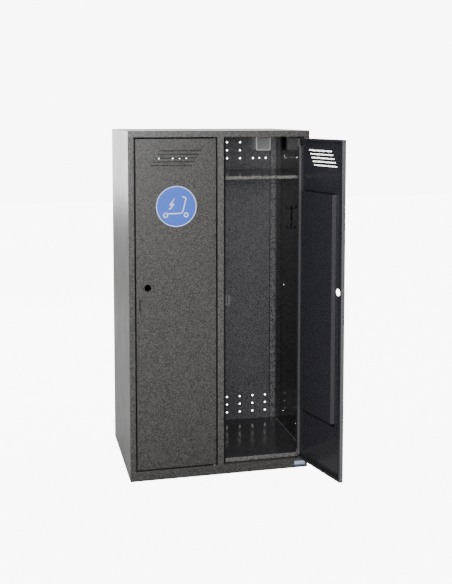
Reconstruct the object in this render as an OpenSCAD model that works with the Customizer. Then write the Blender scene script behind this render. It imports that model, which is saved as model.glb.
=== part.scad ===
// Steel locker with two tall compartments for charging kick scooters.
// Millimetres. The origin is the centre of the base on the ground, +Z is up,
// the doors face -Y and +X is to the right of someone who stands in front.

/* [Cabinet] */
// Overall width
cabinet_w = 950; // [840:1:1100]
// Overall depth of the cabinet, doors closed
cabinet_d = 720; // [620:1:820]
// Overall height
cabinet_h = 1800; // [1720:1:1980]
// Thickness of the cabinet's steel sheet
sheet_t = 1.2; // [1:0.1:1.6]
// Width of the folded post at each side of the front
post_w = 30; // [26:1:36]
// Width of the post between the two doors
centre_post_w = 34; // [30:1:44]
// Depth of the door recess, from the front face to the door stop
recess_d = 26; // [25.5:0.5:30]
// Width of the door stop beside the lock edge
lock_stop_w = 14; // [12:1:18]
// Width of the door stop beside the hinge edge
hinge_stop_w = 24; // [18:1:28]
// Height of the top cap's rim
cap_h = 32; // [20:1:40]
// Height of the base rail under the doors
base_h = 51; // [40:1:60]
// Width of the flanges folded inwards at foot, head and rear
flange_w = 22; // [16:1:30]
// Height at which the rear flange starts, clear of a skirting board
rear_flange_foot = 119; // [60:1:160]
// Depth of the wiring space behind the back panel
wiring_d = 100; // [85:1:120]

/* [Compartments] */
// Height of the compartment floor
floor_h = 75; // [68:1:90]
// Height of the rim folded down round the floor tray
floor_rim = 22; // [12:1:23]
// Height of the space above the shelf
shelf_space = 203; // [190:1:260]
// Height of the rim folded down at the shelf's front and rear
shelf_rim = 17; // [12:1:25]
// Gap between the shelf and the walls beside it
shelf_gap = 2; // [1.5:0.1:3]
// Width of the corner angle on the back panel
corner_angle_w = 33; // [24:1:36]
// Length of the corner angle's leg along the wall
corner_leg = 24; // [15:1:30]
// Length of a shelf bracket along the wall
bracket_l = 30; // [20:1:40]
// Distance of the coat hook's strip below the shelf
hook_drop = 186; // [150:1:300]
// Length of the coat hook's strip
hook_l = 130; // [100:1:150]
// Distance of the coat hook from the cabinet's front
hook_from_front = 311; // [250:1:400]

/* [Back vents] */
// Diameter of a vent hole in the back panel
back_hole_d = 10; // [6:0.5:12]
// Spacing of the vent columns
back_pitch_x = 77.6; // [60:0.1:80]
// Spacing of the vent rows
back_pitch_z = 46.5; // [30:0.1:55]
// Distance of the first column from the compartment's left wall
back_first_x = 179; // [150:1:190]
// Distance of the bottom group's lowest row above the floor
back_low_gap = 46; // [35:1:85]
// Distance of the top group's lowest row below the ceiling
back_high_drop = 139; // [115:1:165]
// Diameter of the single small hole beside the top group
back_small_d = 7; // [4:0.5:9]

/* [Doors] */
// Gap beside each door
door_gap = 7; // [5:0.1:8]
// Gap above each door
door_gap_top = 7.5; // [6:0.5:14]
// Gap below each door
door_gap_bottom = 8; // [7:0.5:10]
// Thickness of a door, over its folded edge
door_t = 22; // [20:0.5:23]
// Thickness of the door's steel sheet
door_sheet = 1.2; // [1:0.1:1.6]
// Width of the lip folded in behind the door's edge
door_lip = 12; // [10:1:16]
// Angle of the right door as it stands open
right_open = 103.7; // [0:0.1:108]
// Diameter of the hole for the lock, which is fitted on site
lock_hole_d = 35; // [20:0.5:36]
// Distance of the lock hole from the door's free edge
lock_inset = 58.5; // [45:0.5:62]
// Height of the lock hole
lock_h = 1005; // [960:1:1100]
// Distance of the staple slot from the door's free edge
slot_inset = 15; // [14:1:20]
// Distance of the staple slot's lower end below the lock hole's centre
slot_drop = 117; // [90:1:140]
// Length of the staple slot
slot_l = 57; // [50:1:60]
// Reach of the staple slot's two short arms
slot_arm = 11; // [8:1:13]
// Width of the staple slot's cut
slot_cut = 5; // [4.5:0.5:6]

/* [Door vents] */
// Rows of vent holes in a door
vent_rows = 5; // [3:1:6]
// Vent holes in a row
vent_count = 18; // [12:1:19]
// Spacing of the vent holes, which is also each row's step sideways
vent_pitch = 11.8; // [10:0.1:12]
// Spacing of the vent rows
vent_row_pitch = 18.5; // [14:0.1:20]
// Width of a vent hole
vent_w = 6.5; // [4:0.5:7]
// Height of a vent hole
vent_h = 9; // [8:0.5:11]
// Distance of the middle row from the door's top edge
vent_from_top = 98; // [80:1:120]

/* [Door stiffener] */
// Distance of the stiffener's raised face from the door's hinge edge
stiff_from_hinge = 44; // [24:1:50]
// Width of the stiffener's raised face
stiff_w = 284; // [240:1:290]
// Length of the stiffener
stiff_l = 1155; // [900:5:1200]
// Width of the stiffener's foot on the free side
stiff_foot = 5; // [4:0.5:6]
// Width of the ledge half way up the stiffener's free side
stiff_ledge = 4; // [2:1:6]

/* [Sign] */
// Diameter of the round sign on the left door
sign_d = 210; // [150:1:240]
// Distance of the sign's centre below the door's top edge
sign_drop = 343; // [330:1:450]
// Thickness of the sign
sign_t = 1; // [0.8:0.1:2]

/* [Hinges] */
// Distance of the hinge axis from the door's edge and from its front face
pivot_inset = 8; // [7.6:0.1:8.5]
// Diameter of the hinge pins
pin_d = 8; // [6:0.5:8]
// Radial running clearance of the pins in their bushes
pin_gap = 0.05; // [0.03:0.01:0.08]
// Wall of a hinge bush
bush_wall = 2; // [1.5:0.1:2.2]
// End play between the lower pin's collar and the bush
end_play = 0.3; // [0.2:0.05:0.5]
// Height of the lower hinge pin's tip above the door's lower edge
lower_pin_reach = 22; // [16:1:26]
// Length of the upper hinge pin below the door's upper edge
upper_pin_drop = 36; // [30:1:45]

/* [Sockets] */
// Width of the socket housing
socket_w = 91; // [86:1:100]
// Height of the socket housing
socket_hgt = 86; // [84:1:90]
// Depth of the socket housing
socket_d = 62; // [58:1:70]
// Gap between the socket housing and the ceiling
socket_top_gap = 8; // [6:1:12]
// Distance of the socket's middle from the compartment's right wall
socket_from_wall = 93; // [80:1:110]
// Wall of the socket housing
socket_wall = 3; // [2.5:0.1:3.5]
// Radius of the socket housing's corners
socket_r = 9; // [6:1:10]
// Width of the frame round the flap
socket_frame = 9.5; // [9:0.5:11]
// Thickness of the flap
flap_t = 5; // [4:0.5:5.5]
// Diameter of the flap's hinge pin
flap_pin_d = 3; // [2:0.1:3.2]
// Diameter of the plug well
well_d = 39; // [38:0.5:42]
// Depth of the plug well
well_depth = 17; // [14:0.5:18]

/* [Wiring] */
// Diameter of a supply lead
lead_d = 9; // [7:0.5:10]
// Distance of the leads from the back panel
lead_off = 16; // [15:0.5:20]
// Width and height of the junction box
junction_w = 110; // [90:1:120]
// Depth of the junction box without its lid
junction_d = 48; // [40:1:55]
// Bore of the inlet gland for the mains cable
gland_bore = 10; // [6:0.5:12]

/* [Small pieces] */
// Diameter of the rivet shanks
rivet_d = 3.2; // [2.4:0.1:3.6]
// Thickness of the strike plates
strike_t = 2; // [1.5:0.1:3]
// Height of a strike plate
strike_l = 53; // [48:1:60]
// Width of the slot in a strike plate
strike_slot_w = 7; // [6:0.5:8]
// Reach of a strike plate past the door stop
strike_reach = 25; // [22:1:28]
// Length of the slot in a strike plate
strike_slot_l = 37; // [30:1:40]
// Distance of that slot's middle from the door stop
strike_slot_x = 11; // [9:0.5:18]
// Gap that is left between a shut door and its buffers
buffer_gap = 0.3; // [0.2:0.05:0.5]
// Diameter of a buffer's head
buffer_d = 8; // [6:0.5:9]
// Width of the blank plate on the base rail
plate_w = 62; // [40:1:80]
// Height of the blank plate
plate_h = 26; // [16:1:32]
// Diameter of the holes that bolt two lockers side by side
link_hole_d = 7; // [5:0.5:9]
// Distance of the front link holes from the front
link_front = 215; // [190:1:240]
// Spacing of the link holes along the side
link_pitch_y = 235; // [200:1:260]
// Height of the lower link holes
link_low_h = 165; // [140:1:180]
// Distance of the upper link holes below the ceiling
link_drop = 119; // [100:1:160]

/* [Hidden] */

$fn = 48;
t = sheet_t;
// How far a cut runs past the face that it opens
cut = 1;
// Clearance round what is pressed or riveted into a hole
seat_gap = 0.05;

paint = [0.27, 0.26, 0.26];
paint_inside = [0.16, 0.16, 0.18];
zinc = [0.72, 0.72, 0.7];
nylon = [0.12, 0.12, 0.12];
socket_grey = [0.55, 0.55, 0.57];

// Planes of the cabinet
side_x = cabinet_w / 2;
front_y = -cabinet_d / 2;
rear_y = cabinet_d / 2;
wall_x = side_x - t;
post_top = cabinet_h - cap_h;
stop_y = front_y + recess_d;
inside_y = stop_y + t;
back_y = rear_y - wiring_d;
part_x = t / 2;
shelf_h = post_top - shelf_space;
link_pitch_z = post_top - link_drop - link_low_h;

// Rails, floors, walls and shelves
rear_rail_w = 30;
floor_rear_gap = 2;
partition_flange_w = 12;
partition_foot_w = 14;
partition_foot_gap = 4;
cap_rim_gap = 1;
rim_notch_w = 18;
shelf_rear_gap = 4;
bracket_leg = 20;
bracket_t = 2;
bracket_front = 60;
bracket_rear = 30;
back_low_h = floor_h + back_low_gap;
back_high_h = post_top - back_high_drop;
back_low_rows = [4, 4, 4];
back_high_rows = [4, 2, 2];
angle_rivet_inset = 9;
angle_rivet_foot = 240;
angle_rivet_drop = 274;
angle_rivet_step = (post_top - angle_rivet_drop - angle_rivet_foot) / 3;
angle_rivet_z = [for (i = [0:3]) angle_rivet_foot + i * angle_rivet_step];

// Doors
opening_w = (cabinet_w - 2 * post_w - centre_post_w) / 2;
door_w = opening_w - 2 * door_gap;
door_foot = base_h + door_gap_bottom;
door_top = post_top - door_gap_top;
door_l = door_top - door_foot;
pivot_y = front_y + pivot_inset;
left_pivot_x = -centre_post_w / 2 - door_gap - pivot_inset;
right_pivot_x = side_x - post_w - door_gap - pivot_inset;
free_x = pivot_inset - door_w;
face_y = -pivot_inset;
skin_y = face_y + door_sheet;
lip_y = face_y + door_t - door_sheet;
pin_notch_w = 8;
pin_notch = upper_pin_drop + 6;
slot_h = lock_h - slot_drop;
sign_h = door_top - sign_drop;

// Hinges
pin_r = pin_d / 2;
bush_bore_r = pin_r + pin_gap;
bush_r = pin_r + bush_wall;
bush_flange_t = 1.5;
bush_flange_r = min(bush_r + 1.5, pivot_inset - 0.3);
bush_seat_r = bush_r + seat_gap;
bush_above = 4;
door_bush_l = 12;
lower_pin_top = door_foot + lower_pin_reach;
collar_r = pin_r + 2.5;
pin_hole_r = pin_r + seat_gap;
pin_head_r = pin_r + 1.5;
pin_head_t = 2;
pin_ring_t = 3;
ceiling_top = post_top + t;
upper_pin_top = ceiling_top + 6;
pin_bracket_w = pin_d + 5.5;
pin_bracket_h = 18;
pin_bracket_t = 2;
pin_bracket_leg_t = 1.5;
pin_bracket_z = door_top - upper_pin_drop + 8;

// Socket
socket_h = post_top - socket_top_gap - socket_hgt;
socket_frame_top = 9;
flap_gap = 0.5;
flap_x = socket_w / 2 - socket_frame - flap_gap;
flap_axis_y = -socket_d + flap_t - 0.5;
flap_axis_z = socket_hgt - socket_frame_top - 5.5;
flap_low_z = socket_frame + flap_gap;
flap_pin_r = flap_pin_d / 2;
flap_barrel_r = flap_pin_r + 2.5;
flap_pin_gap = 0.02;
flap_corner_r = 3.5;
flap_rim_w = 3;
flap_skin_t = 2;
flap_head = 14;
flap_top_rise = 2.5;
flap_grip_w = 24;
flap_grip_h = 2.5;
flap_grip_d = 0.8;
lug_w = 5.5;
lug_h = 10;
lug_rear = 6;
spring_gap = 14;
spring_room = 6;
spring_skin_t = 1.2;
insert_y = -socket_d + 12;
insert_t = 4;
insert_gap = 0.3;
insert_top_gap = 7;
well_wall = 2.5;
well_base = 4;
contact_r = 2.6;
contact_x = 9.5;
left_socket_x = -part_x - socket_from_wall;
right_socket_x = wall_x - socket_from_wall;

// Wiring
lead_rise = 23;
lead_z = socket_h + lead_rise;
lead_y = back_y + t + lead_off;
lead_r = lead_d / 2;
lead_bend = lead_off - 2;
junction_vent_gap = 16;
junction_x = part_x + back_first_x - back_hole_d / 2 - junction_vent_gap - junction_w / 2;
junction_wall = 2.5;
junction_z = post_top - t - junction_w / 2 - 4;
lid_t = 5;
lid_step = 2;
lid_step_inset = 14;
boss_r = 5;
screw_r = 1.7;
screw_l = 12;
screw_head_r = 3.5;
screw_head_t = 2;
screw_inset = 7;
screw_hole_l = 14;
driver_slot = 1;
grommet_hole_r = lead_r + 2.5;
grommet_lip = 2;
grommet_lip_t = 1.5;
lead_start = 12;
lead_stub = 18;
clip_from_socket = 45;
clip_from_box = 40;
clip_l = 12;
clip_wall = 4;
clip_rear = 2;
gland_r = gland_bore / 2;
gland_thread_r = gland_r + 3;
gland_nut_r = gland_r + 6.5;
gland_nut_t = 4;
gland_hex_r = gland_r + 7;
gland_hex_t = 6;
gland_body_r = gland_r + 4.5;
gland_body_l = 14;
gland_mouth_r = gland_r + 2;
gland_dome_l = 6;
gland_thread_l = 11;

// Small pieces
rivet_r = rivet_d / 2;
rivet_hole_r = rivet_r + 0.1;
rivet_head_r = rivet_d * 0.95;
rivet_head_t = 1.4;
rivet_tail_r = rivet_r + 0.9;
rivet_tail_t = 1;
strike_lap = lock_stop_w - 2;
strike_z = slot_h + slot_l / 2;
buffer_foot = 160;
buffer_drop = 170;
buffer_z = [base_h + buffer_foot, post_top - buffer_drop];
buffer_r = buffer_d / 2;
buffer_inset = lock_stop_w - buffer_r - 0.5;
stem_r = 2;
stem_l = 2;
stem_bead = 0.8;
hook_h = shelf_h - hook_drop - hook_l;
hook_y = front_y + hook_from_front;
hook_w = 18;
hook_t = 3;
hook_reach = 26;
hook_tip = 14;
top_hook_reach = 30;
top_hook_tip = 20;
hook_rivet_inset = 35;
hook_rivet_z = [hook_h + hook_rivet_inset, hook_h + hook_l - hook_rivet_inset];
plate_inset = 12;
plate_t = 0.6;

// A box from its lowest to its highest corner
module block(low, high) {
    translate(low) cube(high - low);
}

// A hole or round bar along X, Y or Z that starts at p
module bar_x(p, r, l) {
    translate(p) rotate([0, 90, 0]) cylinder(h = l, r = r);
}

module bar_y(p, r, l) {
    translate(p) rotate([-90, 0, 0]) cylinder(h = l, r = r);
}

module bar_z(p, r, l) {
    translate(p) cylinder(h = l, r = r);
}

// A flat slot with round ends, upright, cut along Y
module slot_y(x, z, w, h, y0, l) {
    translate([x, y0 + l, z]) rotate([90, 0, 0]) linear_extrude(l) {
        square([w, h - w], center = true);
        for (s = [-1, 1]) translate([0, s * (h - w) / 2]) circle(d = w, $fn = 24);
    }
}

// Holes for the buffer stems in a door stop, x measured to the buffer
module buffer_holes(x) {
    for (z = buffer_z) bar_y([x, stop_y - cut, z], stem_r + seat_gap, t + 2 * cut);
}

// One side of the cabinet, drawn as the left one: wall, front post, door stop and flanges
module side_panel(stop_w, lock_side) {
    difference() {
        union() {
            block([-side_x, front_y + t, 0], [-wall_x, rear_y, post_top]);
            block([-side_x, front_y, base_h], [-side_x + post_w, front_y + t, post_top]);
            block([-side_x + post_w - t, front_y, base_h], [-side_x + post_w, inside_y, post_top]);
            block([-side_x + post_w - t, stop_y, base_h],
                  [-side_x + post_w + stop_w, inside_y, post_top]);
            block([-side_x, rear_y - t, rear_flange_foot], [-side_x + flange_w, rear_y, post_top]);
            block([-side_x, front_y + t, 0], [-side_x + flange_w, rear_y - t, t]);
            block([-side_x, inside_y, post_top - t], [-side_x + flange_w, rear_y - t, post_top]);
        }
        link_holes(-1);
        if (lock_side) buffer_holes(-side_x + post_w + buffer_inset);
        if (!lock_side) hook_holes(-side_x - cut);
    }
}

// Four corner holes and a middle one through the side wall at side s
module link_holes(s) {
    x = s > 0 ? wall_x - cut : -side_x - cut;
    y0 = front_y + link_front;
    for (y = [0, 1], z = [0, 1])
        bar_x([x, y0 + y * link_pitch_y, link_low_h + z * link_pitch_z], link_hole_d / 2, t + 2 * cut);
    bar_x([x, y0 + link_pitch_y, link_low_h + link_pitch_z / 2], link_hole_d / 2, t + 2 * cut);
}

module hook_holes(x) {
    for (z = hook_rivet_z) bar_x([x, hook_y, z], rivet_hole_r, t + 2 * cut);
}

module left_side_panel() {
    color(paint) side_panel(lock_stop_w, true);
}

module right_side_panel() {
    color(paint) mirror([1, 0, 0]) side_panel(hinge_stop_w, false);
}

// Front rail under the doors: a channel open to the rear
module base_rail() {
    color(paint) difference() {
        union() {
            block([-side_x, front_y, 0], [side_x, front_y + t, base_h]);
            block([-wall_x, front_y + t, base_h - t], [wall_x, inside_y, base_h]);
            block([-side_x + flange_w, front_y + t, 0], [side_x - flange_w, inside_y, t]);
        }
        for (x = [left_pivot_x, right_pivot_x])
            bar_z([x, pivot_y, base_h - t - cut], pin_hole_r, t + 2 * cut);
    }
}

// Rail across the cabinet under the rear edge of the floors
module rear_rail() {
    top = floor_h - t;
    y1 = back_y - t;
    color(paint) {
        block([-wall_x, y1 - t, t], [wall_x, y1, top]);
        block([-wall_x, y1 - rear_rail_w, top - t], [-part_x, y1, top]);
        block([part_x, y1 - rear_rail_w, top - t], [wall_x, y1, top]);
        block([-side_x + flange_w, y1 - rear_rail_w, 0], [side_x - flange_w, y1, t]);
    }
}

// Folded post between the doors, with a door stop at each side
module centre_post() {
    h = centre_post_w / 2;
    color(paint) difference() {
        union() {
            block([-h, front_y, base_h], [h, front_y + t, post_top]);
            for (s = [-1, 1]) block([s * h - (s > 0 ? t : 0), front_y, base_h],
                [s * h + (s > 0 ? 0 : t), inside_y, post_top]);
            block([-h - hinge_stop_w, stop_y, base_h], [-h + t, inside_y, post_top]);
            block([h - t, stop_y, base_h], [h + lock_stop_w, inside_y, post_top]);
        }
        buffer_holes(h + buffer_inset);
    }
}

// Wall between the compartments, with a flange behind the post and one at the rear
module centre_partition() {
    foot_y = inside_y + partition_foot_gap;
    notch_y = back_y - t - rear_rail_w;
    color(paint_inside) difference() {
        union() {
            block([-part_x, front_y + t, floor_h], [part_x, back_y, post_top]);
            block([-part_x, inside_y, base_h], [part_x, back_y - t - t, floor_h + t]);
            block([-part_x, foot_y, 0], [part_x, notch_y, floor_h]);
            block([-part_x, front_y + t, base_h + t], [partition_flange_w, front_y + 2 * t, post_top]);
            block([-part_x, foot_y, 0], [partition_foot_w, notch_y, t]);
        }
        hook_holes(-part_x - cut);
    }
}

// Rows of vent holes, each with its own number of holes, from a column at x and a height z
module vent_group(rows, x, z) {
    for (j = [0:len(rows) - 1], i = [0:rows[j] - 1])
        bar_y([x + i * back_pitch_x, back_y - cut, z + j * back_pitch_z], back_hole_d / 2, t + 2 * cut);
}

// Vent holes of the compartment whose left wall is at x0
module back_vents(x0) {
    x = x0 + back_first_x;
    vent_group(back_low_rows, x, back_low_h);
    vent_group(back_high_rows, x, back_high_h);
    bar_y([x + 2.5 * back_pitch_x, back_y - cut, back_high_h], back_small_d / 2, t + 2 * cut);
}

// Ventilated panel across both compartments; the wiring runs behind it
module back_panel() {
    color(paint) difference() {
        block([-wall_x, back_y, floor_h - floor_rim], [wall_x, back_y + t, post_top - t]);
        back_vents(-wall_x);
        back_vents(part_x);
        for (x = [left_socket_x, right_socket_x])
            bar_y([x, back_y - cut, lead_z], grommet_hole_r, t + 2 * cut);
        angle_rivet_holes();
    }
}

module angle_rivet_holes() {
    for (x = angle_rivet_x(), z = angle_rivet_z)
        bar_y([x, back_y - t - cut, z], rivet_hole_r, 2 * (t + cut));
}

function angle_rivet_x() = let (d = corner_angle_w - angle_rivet_inset)
    [-wall_x + d, -part_x - d, part_x + d, wall_x - d];

// Angle in a rear corner: one leg on the back panel, one on the wall at x
module corner_angle(x, s) {
    z1 = post_top - t;
    x0 = min(x, x + s * corner_angle_w);
    difference() {
        union() {
            block([x0, back_y - t, floor_h], [x0 + corner_angle_w, back_y, z1]);
            block([min(x, x + s * t), back_y - corner_leg, floor_h], [max(x, x + s * t), back_y, z1]);
        }
        angle_rivet_holes();
    }
}

module corner_angles() {
    color(paint) {
        corner_angle(-wall_x, 1);
        corner_angle(-part_x, -1);
        corner_angle(part_x, 1);
        corner_angle(wall_x, -1);
    }
}

module rivet_y(p) {
    translate(p) rotate([-90, 0, 0]) {
        cylinder(h = 2 * t, r = rivet_r);
        translate([0, 0, -rivet_head_t]) cylinder(h = rivet_head_t, r1 = rivet_r, r2 = rivet_head_r);
        translate([0, 0, 2 * t]) cylinder(h = rivet_tail_t, r = rivet_tail_r);
    }
}

module panel_rivets() {
    color(zinc) for (x = angle_rivet_x(), z = angle_rivet_z) rivet_y([x, back_y - t, z]);
}

// Sheet over both compartments that carries the upper hinge bushes
module ceiling_panel() {
    rim = cap_h - t - cap_rim_gap;
    y1 = rear_y - t;
    color(paint) difference() {
        union() {
            block([-wall_x, front_y + t, post_top], [wall_x, y1, ceiling_top]);
            block([-wall_x, front_y + t, post_top], [wall_x, front_y + 2 * t, post_top + rim]);
            block([-wall_x, y1 - t, post_top], [wall_x, y1, post_top + rim]);
            for (s = [-1, 1]) block([s * wall_x - (s > 0 ? t : 0), front_y + t, post_top],
                [s * wall_x + (s > 0 ? 0 : t), y1, post_top + rim]);
        }
        for (x = [left_pivot_x, right_pivot_x]) {
            bar_z([x, pivot_y, post_top - cut], bush_seat_r, t + 2 * cut);
            block([x - rim_notch_w / 2, front_y, ceiling_top], [x + rim_notch_w / 2, pivot_y, cabinet_h]);
        }
    }
}

// Lid over the whole cabinet with its rim folded down all round
module top_cap() {
    color(paint) difference() {
        block([-side_x, front_y, post_top], [side_x, rear_y, cabinet_h]);
        block([-wall_x, front_y + t, post_top - cut], [wall_x, rear_y - t, cabinet_h - t]);
    }
}

// Floor tray between walls at x0 and x1
module floor_tray(x0, x1) {
    rail_y = back_y - t - rear_rail_w - floor_rear_gap;
    foot = floor_h - floor_rim;
    difference() {
        block([x0, inside_y, foot], [x1, back_y, floor_h]);
        block([x0 + t, inside_y + t, foot - cut], [x1 - t, rail_y, floor_h - t]);
        block([x0 - cut, rail_y, foot - cut], [x1 + cut, back_y + cut, floor_h - t]);
    }
}

module left_floor() {
    color(paint_inside) floor_tray(-wall_x, -part_x);
}

module right_floor() {
    color(paint_inside) floor_tray(part_x, wall_x);
}

// Shelf between walls at x0 and x1, open at its sides, rims at front and rear
module shelf(x0, x1) {
    y0 = inside_y + shelf_gap;
    y1 = back_y - t - shelf_rear_gap;
    block([x0 + shelf_gap, y0, shelf_h - t], [x1 - shelf_gap, y1, shelf_h]);
    block([x0 + shelf_gap, y0, shelf_h - shelf_rim], [x1 - shelf_gap, y0 + t, shelf_h]);
    block([x0 + shelf_gap + corner_angle_w, y1 - t, shelf_h - shelf_rim],
          [x1 - shelf_gap - corner_angle_w, y1, shelf_h]);
}

module left_shelf() {
    color(paint_inside) difference() {
        shelf(-wall_x, -part_x);
        shelf_corner_notches();
    }
}

module right_shelf() {
    color(paint_inside) difference() {
        shelf(part_x, wall_x);
        shelf_corner_notches();
    }
}

// Cut-outs that clear the corner angles' wall legs
module shelf_corner_notches() {
    n = t + shelf_gap;
    for (x = [-wall_x, -part_x - n, part_x, wall_x - n])
        block([x, back_y - corner_leg - shelf_gap, shelf_h - shelf_rim - cut],
              [x + n, back_y, shelf_h + cut]);
}

// Angle bracket under a shelf, on the wall at x and pointing along s
module shelf_bracket(x, s, y) {
    top = shelf_h - t;
    reach = x + s * bracket_leg;
    wall = x + s * bracket_t;
    block([min(x, reach), y, top - bracket_t], [max(x, reach), y + bracket_l, top]);
    block([min(x, wall), y, top - bracket_leg], [max(x, wall), y + bracket_l, top]);
}

module shelf_brackets() {
    ys = [inside_y + bracket_front, back_y - corner_leg - bracket_rear - bracket_l];
    color(paint_inside) for (y = ys) {
        shelf_bracket(-wall_x, 1, y);
        shelf_bracket(-part_x, -1, y);
        shelf_bracket(part_x, 1, y);
        shelf_bracket(wall_x, -1, y);
    }
}

// Plate behind the lock side stop; x is the stop's edge, the plate reaches past it
module strike_plate(x) {
    color(paint_inside) difference() {
        block([x - strike_lap, inside_y, strike_z - strike_l / 2],
              [x + strike_reach, inside_y + strike_t, strike_z + strike_l / 2]);
        slot_y(x + strike_slot_x, strike_z, strike_slot_w, strike_slot_l,
            inside_y - cut, strike_t + 2 * cut);
    }
}

module left_strike_plate() {
    strike_plate(-side_x + post_w + lock_stop_w);
}

module right_strike_plate() {
    strike_plate(centre_post_w / 2 + lock_stop_w);
}

// Strip with an upturned hook at each end, on the wall at x
module coat_hook(x) {
    z1 = hook_l - top_hook_tip;
    color(nylon) difference() {
        translate([x, hook_y + hook_w / 2, hook_h]) rotate([90, 0, 0]) linear_extrude(hook_w) {
            translate([-hook_t, 0]) square([hook_t, hook_l]);
            translate([-hook_reach, 0]) square([hook_reach, hook_t]);
            translate([-hook_reach, 0]) square([hook_t, hook_tip]);
            translate([-top_hook_reach, z1]) square([hook_t, top_hook_tip]);
            translate([-top_hook_reach, z1]) square([top_hook_reach, hook_t]);
        }
        for (z = hook_rivet_z) bar_x([x - hook_t - cut, hook_y, z], rivet_hole_r, hook_t + 2 * cut);
    }
}

module left_coat_hook() {
    coat_hook(-part_x);
}

module right_coat_hook() {
    coat_hook(wall_x);
}

module hook_rivets() {
    color(zinc) for (x = [-part_x, wall_x], z = hook_rivet_z)
        translate([x, hook_y, z]) rotate([0, -90, 0]) {
            translate([0, 0, -t]) cylinder(h = t + hook_t, r = rivet_r);
            translate([0, 0, hook_t]) cylinder(h = rivet_head_t, r1 = rivet_head_r, r2 = rivet_r);
            translate([0, 0, -t - rivet_tail_t]) cylinder(h = rivet_tail_t, r = rivet_tail_r);
        }
}

// Rubber buffers plugged into the lock side door stops
module door_buffers() {
    head_t = recess_d - door_t - buffer_gap;
    xs = [-side_x + post_w + buffer_inset, centre_post_w / 2 + buffer_inset];
    color(nylon) for (x = xs, z = buffer_z) translate([x, stop_y, z]) rotate([-90, 0, 0]) {
        translate([0, 0, -head_t]) cylinder(h = head_t, r = buffer_r);
        cylinder(h = t + stem_l, r = stem_r);
        translate([0, 0, t]) cylinder(h = stem_l, r = stem_r + stem_bead);
    }
}

// Pins riveted into the base rail; each door stands on the collar
module lower_hinge_pins() {
    collar_top = door_foot - bush_flange_t - end_play;
    color(zinc) for (x = [left_pivot_x, right_pivot_x]) translate([x, pivot_y, 0]) {
        bar_z([0, 0, base_h - t], pin_r, lower_pin_top - base_h + t);
        bar_z([0, 0, base_h], collar_r, collar_top - base_h);
        bar_z([0, 0, base_h - t - pin_head_t], pin_head_r, pin_head_t);
    }
}

// Bushes pushed up into the ceiling panel, for the doors' upper pins
module upper_hinge_bushes() {
    foot = post_top - bush_flange_t;
    l = bush_flange_t + t + bush_above;
    color(nylon) for (x = [left_pivot_x, right_pivot_x]) translate([x, pivot_y, 0])
        difference() {
            union() {
                bar_z([0, 0, foot], bush_r, l);
                bar_z([0, 0, foot], bush_flange_r, bush_flange_t);
            }
            bar_z([0, 0, foot - cut], bush_bore_r, l + 2 * cut);
        }
}

// Holes of a door, in door coordinates: the hinge axis is the origin
module door_holes() {
    vent_mid_x = pivot_inset - door_w / 2;
    for (row = [0:vent_rows - 1], i = [0:vent_count - 1])
        slot_y(vent_mid_x + (i - (vent_count - 1) / 2 + row - (vent_rows - 1) / 2) * vent_pitch,
            door_top - vent_from_top + (row - (vent_rows - 1) / 2) * vent_row_pitch,
            vent_w, vent_h, face_y - cut, door_sheet + 2 * cut);
    bar_y([free_x + lock_inset, face_y - cut, lock_h], lock_hole_d / 2, door_sheet + 2 * cut);
    x0 = free_x + slot_inset;
    block([x0, face_y - cut, slot_h], [x0 + slot_cut, skin_y + cut, slot_h + slot_l]);
    for (z = [slot_h, slot_h + slot_l - slot_cut])
        block([x0, face_y - cut, z], [x0 + slot_arm, skin_y + cut, z + slot_cut]);
    bar_z([0, 0, door_foot - cut], bush_seat_r, door_sheet + 2 * cut);
    bar_z([0, 0, door_top - door_sheet - cut], pin_hole_r, door_sheet + 2 * cut);
}

// Door pan: front skin, four folded edges and the lip behind them
module door_pan() {
    s = door_sheet;
    x1 = pivot_inset;
    rear = face_y + door_t;
    color(paint) difference() {
        block([free_x, face_y, door_foot], [x1, rear, door_top]);
        block([free_x + s, skin_y, door_foot + s], [x1 - s, lip_y, door_top - s]);
        block([free_x + door_lip, skin_y, door_foot + door_lip],
              [x1 - door_lip, rear + cut, door_top - door_lip]);
        for (z = [door_foot + s, door_top - s - pin_notch])
            block([x1 - door_lip - pin_notch_w, skin_y, z], [x1 - s, rear + cut, z + pin_notch]);
        door_holes();
    }
}

// Shallow pressed pan, face down on the door's skin, level with the lip
module door_stiffener() {
    s = door_sheet;
    top_y = face_y + door_t;
    mid_y = skin_y + (top_y - skin_y) / 2;
    x1 = pivot_inset - stiff_from_hinge;
    x0 = x1 - stiff_w;
    z0 = (door_foot + door_top - stiff_l) / 2;
    z1 = z0 + stiff_l;
    foot_in = 8;
    color(paint_inside) difference() {
        union() {
            block([x0, skin_y, z0], [x1, top_y, z1]);
            block([x0 - stiff_ledge, skin_y, z0], [x0 + s, mid_y, z1]);
            block([x0 - stiff_ledge - stiff_foot, skin_y, z0], [x1 + foot_in, skin_y + s, z1]);
        }
        block([x0 + s, skin_y - cut, z0 + s], [x1 - s, top_y - s, z1 - s]);
        block([x0 - stiff_ledge + s, skin_y - cut, z0 + s], [x0 + 2 * s, mid_y - s, z1 - s]);
    }
}

// Flanged bush in the door's lower edge, standing on the pin's collar
module door_bush() {
    foot = door_foot - bush_flange_t;
    color(nylon) difference() {
        union() {
            bar_z([0, 0, foot], bush_flange_r, bush_flange_t);
            bar_z([0, 0, foot], bush_r, bush_flange_t + door_bush_l);
        }
        bar_z([0, 0, foot - cut], bush_bore_r, bush_flange_t + door_bush_l + 2 * cut);
    }
}

// Upper hinge pin, held by the door's edge and the bracket below it
module door_pin() {
    low = door_top - upper_pin_drop;
    color(zinc) {
        bar_z([0, 0, low], pin_r, upper_pin_top - low);
        bar_z([0, 0, pin_bracket_z + pin_bracket_t], pin_head_r, pin_ring_t);
    }
}

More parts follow.
